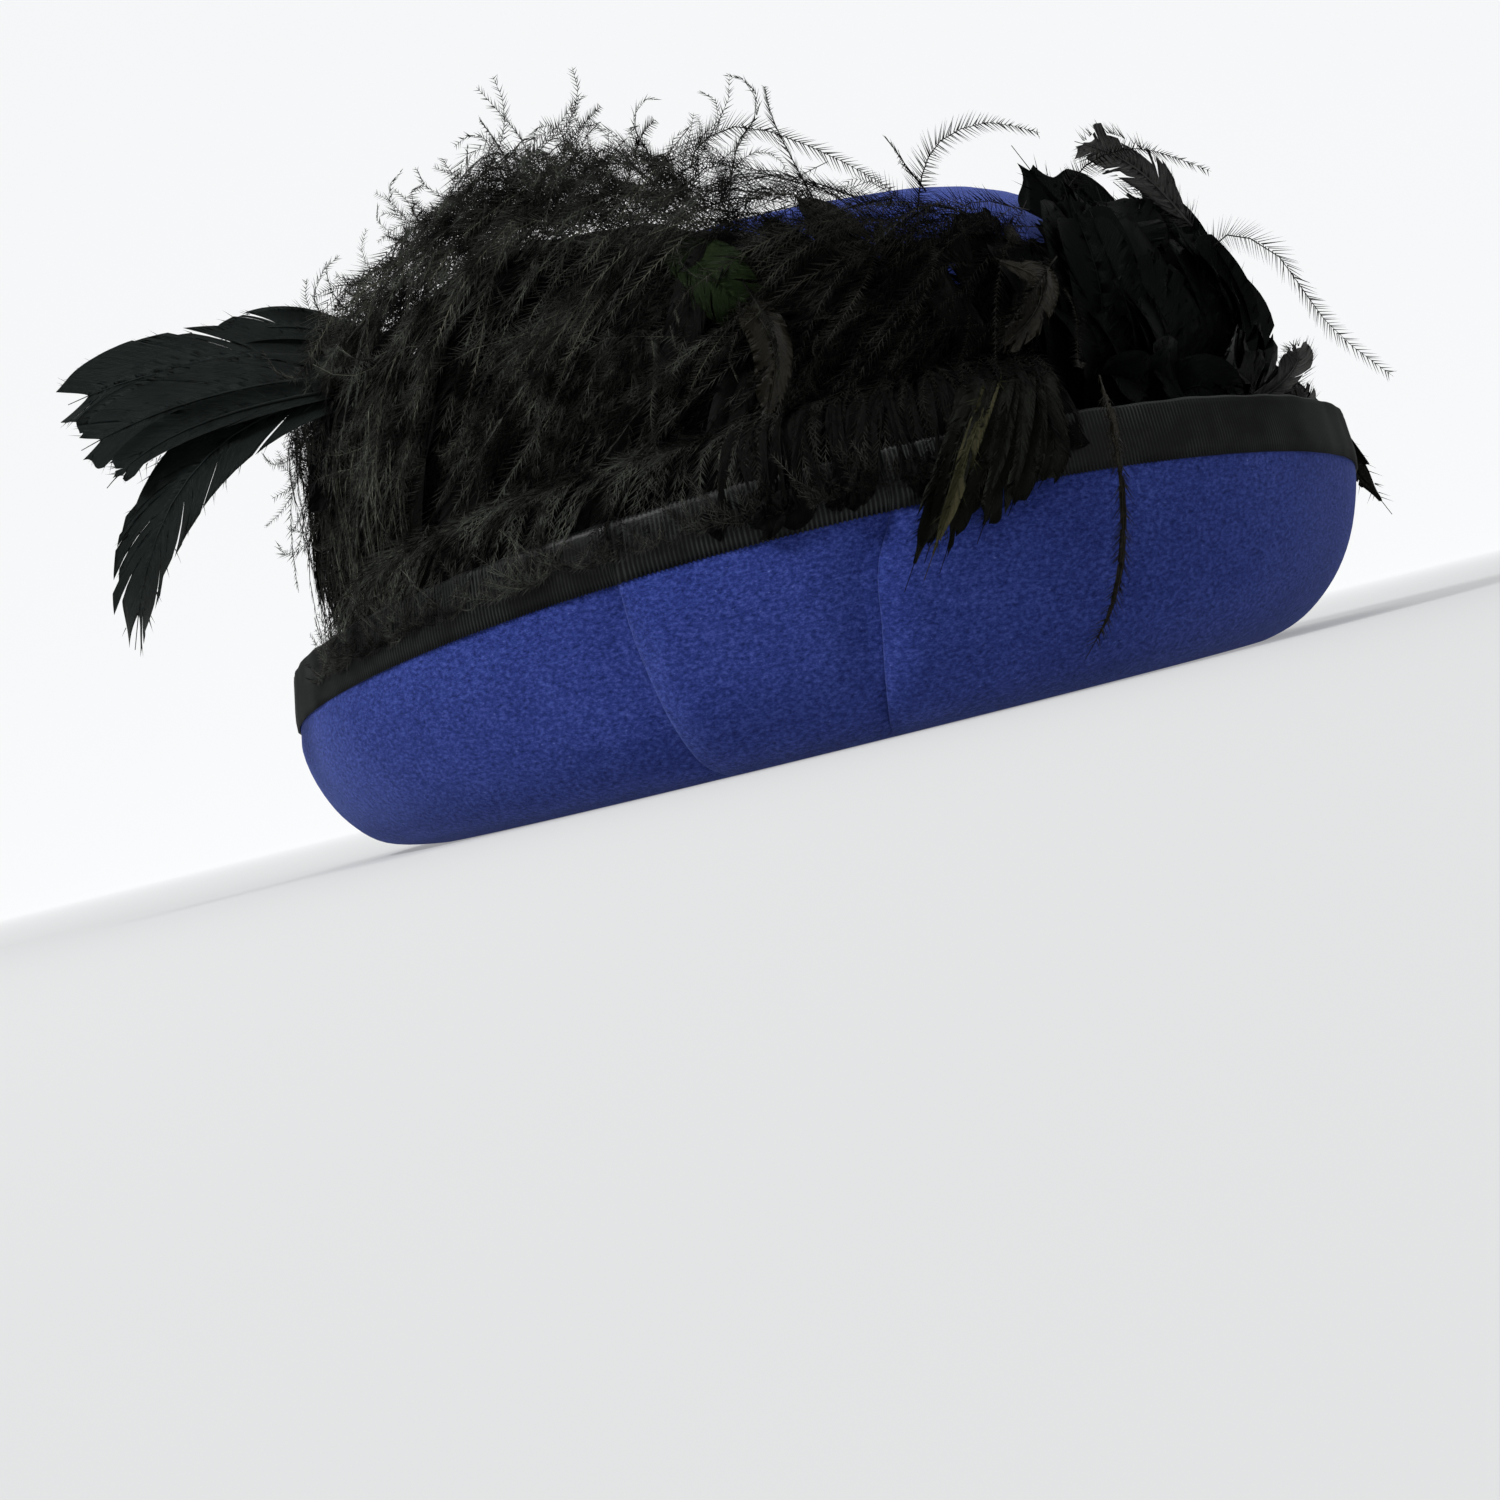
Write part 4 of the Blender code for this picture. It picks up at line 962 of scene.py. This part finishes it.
# The long tail feathers behind.
# Five cockerel tail feathers with stiff quills and glossy black webs, bound together at the root and stitched
# in behind the ostrich; one of the broad ones is cut square across.
TAIL = vane_finish("black_tail", (0.0015, 0.0022, 0.0021), (0.008, 0.0105, 0.0095), 0.40, (0.85, 1.0, 0.97))
# Root, middle, tip, half width, how square the tip is, splits, slant of the barbs
TAIL_FEATHERS = (
    ((-42, 110, 146), (-40, 138, 165), (-36, 168, 167), 6, 0.1, 2, 24),
    ((-44, 110, 144), (-44, 165, 160), (-36, 217, 159), 13, 0.9, 4, 26),
    ((-48, 110, 142), (-55, 164, 149), (-60, 212, 141), 13, 0.5, 7, 26),
    ((-50, 112, 140), (-62, 170, 141), (-66, 205, 127), 6, 0.1, 3, 22),
    ((-50, 112, 138), (-64, 173, 130), (-74, 207, 74), 13, 0.8, 9, 26),
)
TAIL_ACROSS = np.array([[0.45, 0.0, 0.9]])


def bow(root, middle, tip, steps=18):
    """A path that starts at the root, passes the middle and ends at the tip."""
    root, middle, tip = (np.array(point, float) for point in (root, middle, tip))
    pull = middle * 2 - (root + tip) / 2
    share = np.linspace(0, 1, steps)[:, None]
    return root * (1 - share) ** 2 + pull * 2 * share * (1 - share) + tip * share ** 2


tail_parts = []
for index, (root, middle, tip, half_width, square, splits, slant) in enumerate(TAIL_FEATHERS):
    path = bow(root, middle, tip)
    blank = vane(200 + index, length_of(path), half_width, barbs=60, spans=5, splits=splits, camber=2.0,
                 slant=slant, blunt=square, quill_root=0.9, fuzz=40, ragged=0.05, loose_count=60)
    tail_parts.append(laid(blank, path[None], TAIL_ACROSS))
feather_piece("tail_feathers", tail_parts, TAIL, "tail_spray")

# The hackles over the ribbon.
# Narrow neck feathers of a cockerel, rooted between the two bands; they cross the ribbon on the wearer's
# right and droop against the felt in a point. An olive one lies on top.
HACKLE = vane_finish("black_hackle", (0.0005, 0.0006, 0.0005), (0.0036, 0.0038, 0.0026), 0.42,
                     (0.9, 1.0, 0.8))
OLIVE = vane_finish("olive_hackle", (0.004, 0.0037, 0.0016), (0.040, 0.038, 0.017), 0.45)
# Angles of root, rim crossing and tip, height of the tip, half width
HACKLES = (
    (208.6, 198.5, 184.5, 35, 4.0), (209.9, 200.3, 188.0, 38, 4.5), (211.2, 202.2, 192.0, 44, 4.5),
    (212.5, 204.5, 199.0, 56, 4.5), (207.0, 197.0, 187.0, 42, 4.0), (210.5, 203.0, 195.5, 50, 4.5),
    (212.0, 201.0, 190.0, 48, 4.0),
)
# Half sizes of the oval in which feathers pass over the ribbon, how high, and how far below they hug the felt
PASS_SIZES, PASS_HIGH, HUG_BELOW = (149.0, 165.5, 163.0), 14, 8


def over_rim(root_angle, rim_angle, tip_angle, tip_height, off=4.6, root=(20, 92)):
    """From the band over the ribbon and down outside the brim; root is a reach off the crown and a height."""
    reach, height = root
    sizes = crown_sizes(np.array(float(height)))
    start = oval_point(*sizes, root_angle) + oval_out(*sizes, root_angle) * reach + up * height
    over = oval_point(*PASS_SIZES, rim_angle) + up * (rim_height(rim_angle) + PASS_HIGH)
    halfway = (rim_angle + tip_angle) / 2
    outside, low = ([size + off + stand for size in RIM_HALF_SIZES] for stand in (1.4, 2))
    outside = oval_point(*outside, halfway) + up * (rim_height(halfway) - HUG_BELOW)
    low = oval_point(*low, tip_angle) + up * tip_height
    return through(np.array([start, over, outside, low]), 18)


def ribbon_way(rim_angle):
    """The way along the ribbon at an angle, as the one row that laid() takes."""
    return np.cross(oval_out(*RIM_HALF_SIZES, rim_angle), up)[None]


def hackle(seed, root_angle, rim_angle, tip_angle, tip_height, half_width, off=4.6, fuzz=24, loose_count=30):
    path = over_rim(root_angle, rim_angle, tip_angle, tip_height, off)
    blank = vane(seed, length_of(path), half_width, barbs=44, spans=3, splits=5, camber=1.0, slant=20,
                 blunt=0.1, quill_root=0.4, fuzz=fuzz, ragged=0.08, loose_count=loose_count)
    return laid(blank, path[None], ribbon_way(rim_angle))


hackle_parts = [hackle(300 + index, *row) for index, row in enumerate(HACKLES)]
feather_piece("hackle_feathers", hackle_parts, HACKLE, "hackle_spray")
olive_part = hackle(320, 209.0, 199.4, 186.4, 37.0, 2.4, off=5.8, fuzz=10, loose_count=20)
feather_piece("olive_feather", [olive_part], OLIVE, "hackle_spray")

# The small feathers and flues over the ribbon.
# Soft body feathers and fine flues, rooted low in both bands. They fall over the ribbon's edge beside the
# hackles, and the last ones are a fringe of flues further back.
HUNG_GIRTH = 0.9


def hung(draw, blanks, count, first, span, stray, swing, back, drop, off, root, tumble, sizes=None):
    """Parts that hang over the ribbon, spread from a first angle over a span; drop is the tips' fall."""
    parts = []
    for index in range(count):
        rim_angle = first + span * index / count + draw.normal(0, stray)
        tip_angle = rim_angle - draw.uniform(*swing)
        root_angle = rim_angle + draw.uniform(*back)
        tip_height = rim_height(tip_angle) - draw.uniform(*drop)
        path = over_rim(root_angle, rim_angle, tip_angle, tip_height, off, root)
        across = ribbon_way(rim_angle) + draw.normal(0, tumble, (1, 3))
        girth = draw.uniform(*sizes) if sizes else HUNG_GIRTH
        parts.append(laid(blanks[index % len(blanks)], path[None], across, girth))
    return parts


draw = np.random.default_rng(33)
droop_parts = hung(draw, SOFT_LEAVES, 28, 173.0, 33.0, stray=0.8, swing=(-2, 8), back=(1, 9), drop=(-3, 12),
                   off=1.6, root=(24, 100), tumble=0.25, sizes=(0.38, 0.72))
feather_piece("drooping_feathers", droop_parts, SOFT, "hackle_spray")
droop_parts = hung(draw, FLUES["fine"], 46, 171.0, 36.0, stray=1.0, swing=(-2, 9), back=(1, 12), drop=(-8, 9),
                   off=2.4, root=(22, 104), tumble=0.5)
feather_piece("drooping_flues", droop_parts, OSTRICH, "hackle_spray")
fringe_parts = hung(draw, FLUES["fine"], 60, 121.0, 51.0, stray=1.0, swing=(2, 14), back=(1, 12),
                    drop=(-10, 7), off=1.8, root=(24, 98), tumble=0.5)
feather_piece("ostrich_fringe", fringe_parts, OSTRICH, "ostrich_plume")

# The feather tip in front.
# A narrow black hackle, rooted in the front band on the wearer's left, that passes over the ribbon and shows
# its tip beyond the brim.
TIP_STATIONS = ((62, -120, 90), (51, -157, 88), (42, -171, 71), (27, -181, 46), (14, -187, 27))
front_tip = placed(631, TIP_STATIONS, 4.5, (-1, -0.3, 0), 40, 3, 4, quill_root=0.35)
feather_piece("front_tip_feather", [front_tip], HACKLE, "coque_pad")

# The wisps.
# Single flues that have worked loose from the trim and stand out against the light. The last three lie over
# the mass on the wearer's right.
# Each wisp: the points it passes as the camera sees them near the middle plane, the length of its barbs, and
# the X at which its root and its tip really lie
WISPS = (
    (((-48, 55, 178), (-50, 63, 185), (-50, 64, 199), (-50, 69, 212)), 6.5, (-86, -52)),
    (((-46, 60, 180), (-50, 54, 190), (-50, 41, 201), (-50, 32, 207)), 6.0, (-92, -34)),
    (((-48, 66, 166), (-50, 79, 169), (-50, 87, 186)), 5.0, (-72, -96)),
    (((-50, 58, 167), (-50, 93, 178), (-50, 105, 184)), 6.0, (-60, -16)),
    (((-50, 102, 177), (-50, 119, 172), (-50, 126, 166)), 4.0, (-84, -40)),
    (((-50, 51, 177), (-50, 43, 188), (-50, 30, 191), (-50, 7, 182)), 7.5, (-97, -74)),
    (((-50, 33, 177), (-50, 23, 194), (-50, 17, 199)), 6.0, (-96, -112)),
    (((-50, 10, 182), (-50, 5, 189), (-50, -8, 191), (-50, -24, 182), (-50, -40, 169), (-52, -50, 158)), 7.5,
     (-98, -70)),
    (((-50, -24, 164), (-50, -22, 172), (-50, -18, 190), (-50, -18, 201)), 6.0, (-99, -84)),
    (((-50, -58, 158), (-50, -54, 167), (-50, -50, 177)), 5.0, (-94, -66)),
    (((-50, -54, 152), (-50, -58, 163), (-50, -66, 172), (-50, -81, 174), (-50, -96, 167)), 8.0, (-92, -52)),
    (((-46, -98, 146), (-50, -107, 154), (-50, -119, 156), (-50, -129, 153), (-50, -144, 143)), 6.5,
     (-62, -28)),
    (((-44, -132, 112), (-50, -140, 122), (-50, -148, 122), (-50, -158, 113), (-50, -164, 97),
      (-50, -170, 85), (-50, -183, 69)), 8.0, (-44, -54)),
    (((-128, 6, 136), (-136, 4, 129), (-138, 1, 117), (-138, 2, 103), (-136, 12, 88)), 5.0, None),
    (((-124, 34, 128), (-136, 35, 117), (-138, 40, 101), (-136, 40, 84)), 5.0, None),
    (((-112, -84, 122), (-120, -77, 116), (-122, -66, 106), (-120, -58, 96)), 5.0, None),
)
# The camera's place, and the gap between a wisp's barbs
EYE = np.array((-1040.0, 35.0, 15.0))
BARB_GAP, BARB_GROWTH = 1.1, 1.15
WISP_ACROSS = np.array([[0.0, 0.3, 1.0]])
wisp_parts = []
for index, (stations, barb_length, depths) in enumerate(WISPS):
    stations = np.array(stations, float)
    if depths:
        nearer = np.linspace(*depths, len(stations)) - EYE[0]
        stations = EYE + (stations - EYE) * (nearer / (stations[:, 0] - EYE[0]))[:, None]
    path = through(stations)
    length = length_of(path)
    pairs = round(length / BARB_GAP)
    blank = flue(400 + index, length, pairs, barb_length * BARB_GROWTH, girth=0.19, quill_root=0.32, lean=62,
                 loose=0.7)
    wisp_parts.append(laid(blank, path[None], WISP_ACROSS))
feather_piece("ostrich_wisps", wisp_parts, OSTRICH, "ostrich_plume")

# The floor, the light and the camera.
# A pale seamless paper sweep under soft light, and the camera level with the brim and rolled as in the photo.
SWEEP_NEAR, SWEEP_FROM, SWEEP_RADIUS, SWEEP_STEPS = -5.0, 2.0, 2.4, 24
SWEEP_HALF, SWEEP_TOP = 5.0, 7.0
stage_mesh = bmesh.new()
sweep = [(x, 0) for x in (SWEEP_NEAR, SWEEP_FROM)]
for step in range(1, SWEEP_STEPS + 1):
    bend = math.radians(90 * step / SWEEP_STEPS)
    sweep.append((SWEEP_FROM + SWEEP_RADIUS * math.sin(bend), SWEEP_RADIUS * (1 - math.cos(bend))))
sweep.append((SWEEP_FROM + SWEEP_RADIUS, SWEEP_TOP))
sweep_verts = [stage_mesh.verts.new((x, -SWEEP_HALF, z)) for x, z in sweep]
sweep_edges = [stage_mesh.edges.new(pair) for pair in zip(sweep_verts, sweep_verts[1:])]
swept = bmesh.ops.extrude_edge_only(stage_mesh, edges=sweep_edges)
bmesh.ops.translate(stage_mesh, vec=(0, 2 * SWEEP_HALF, 0),
                    verts=[item for item in swept["geom"] if isinstance(item, bmesh.types.BMVert)])
paper_data = bpy.data.meshes.new("paper_sweep")
stage_mesh.to_mesh(paper_data)
stage_mesh.free()
paper_data.shade_smooth()


def paper_finish():
    """Pale matt paper with a painted glow that grows stronger further back and higher up the sweep."""
    pale = Finish("pale_paper", (0.28, 0.283, 0.283), 0.9, Specular_IOR_Level=0.05,
                  Emission_Color=(0.985, 0.99, 1, 1))
    far = pale.node("ShaderNodeMath", in0=pale.place("X"), in1=0.25)
    far.operation = "MULTIPLY"
    depth = pale.node("ShaderNodeMath", in0=far.outputs[0], in1=pale.place("Z"))
    # Painted light: the paper glows, more the further back and the higher up it is.
    glow = pale.node("ShaderNodeMapRange", Value=depth.outputs[0], From_Min=0.02, From_Max=0.50, To_Min=0.305,
                     To_Max=0.74)
    pale.tree.links.new(glow.outputs["Result"], pale.shader.inputs["Emission Strength"])
    return pale.material


paper_data.materials.append(paper_finish())
paper = bpy.data.objects.new("paper_sweep", paper_data)
bpy.context.scene.collection.objects.link(paper)

world = bpy.data.worlds.new("studio")
world.use_nodes = True
world.node_tree.nodes["Background"].inputs["Color"].default_value = (0.97, 0.985, 1.0, 1)
world.node_tree.nodes["Background"].inputs["Strength"].default_value = 0.52
bpy.context.scene.world = world
bpy.context.scene.view_settings.view_transform = "Standard"


def lamp(name, place, aim, size, power):
    light = bpy.data.lights.new(name, "AREA")
    light.size = size
    light.energy = power
    holder = bpy.data.objects.new(name, light)
    holder.location = place
    holder.rotation_euler = (Vector(aim) - Vector(place)).to_track_quat("-Z", "Y").to_euler()
    bpy.context.scene.collection.objects.link(holder)


lamp("key", (-1.2, 1.2, 1.6), (0, 0, 0.08), 0.5, 46)
lamp("fill", (-1.3, -1.1, 0.6), (0, 0, 0.08), 1.2, 2)
lamp("top", (-0.25, -0.1, 1.7), (0, 0, 0.12), 0.6, 9)

CAMERA_PLACE, CAMERA_AIM = Vector((-1.04, 0.035, 0.015)), Vector((0, 0.035, 0.005))
CAMERA_RIGHT = Vector((0, -0.9707, -0.2402))
camera_data = bpy.data.cameras.new("camera")
camera_data.sensor_width = 36
camera_data.lens = 77.8
camera_data.clip_start = 0.01
camera = bpy.data.objects.new("camera", camera_data)
back = (CAMERA_PLACE - CAMERA_AIM).normalized()
right = (CAMERA_RIGHT - back * CAMERA_RIGHT.dot(back)).normalized()
camera.matrix_world = Matrix((right, back.cross(right), back)).transposed().to_4x4()
camera.location = CAMERA_PLACE
bpy.context.scene.collection.objects.link(camera)
bpy.context.scene.camera = camera
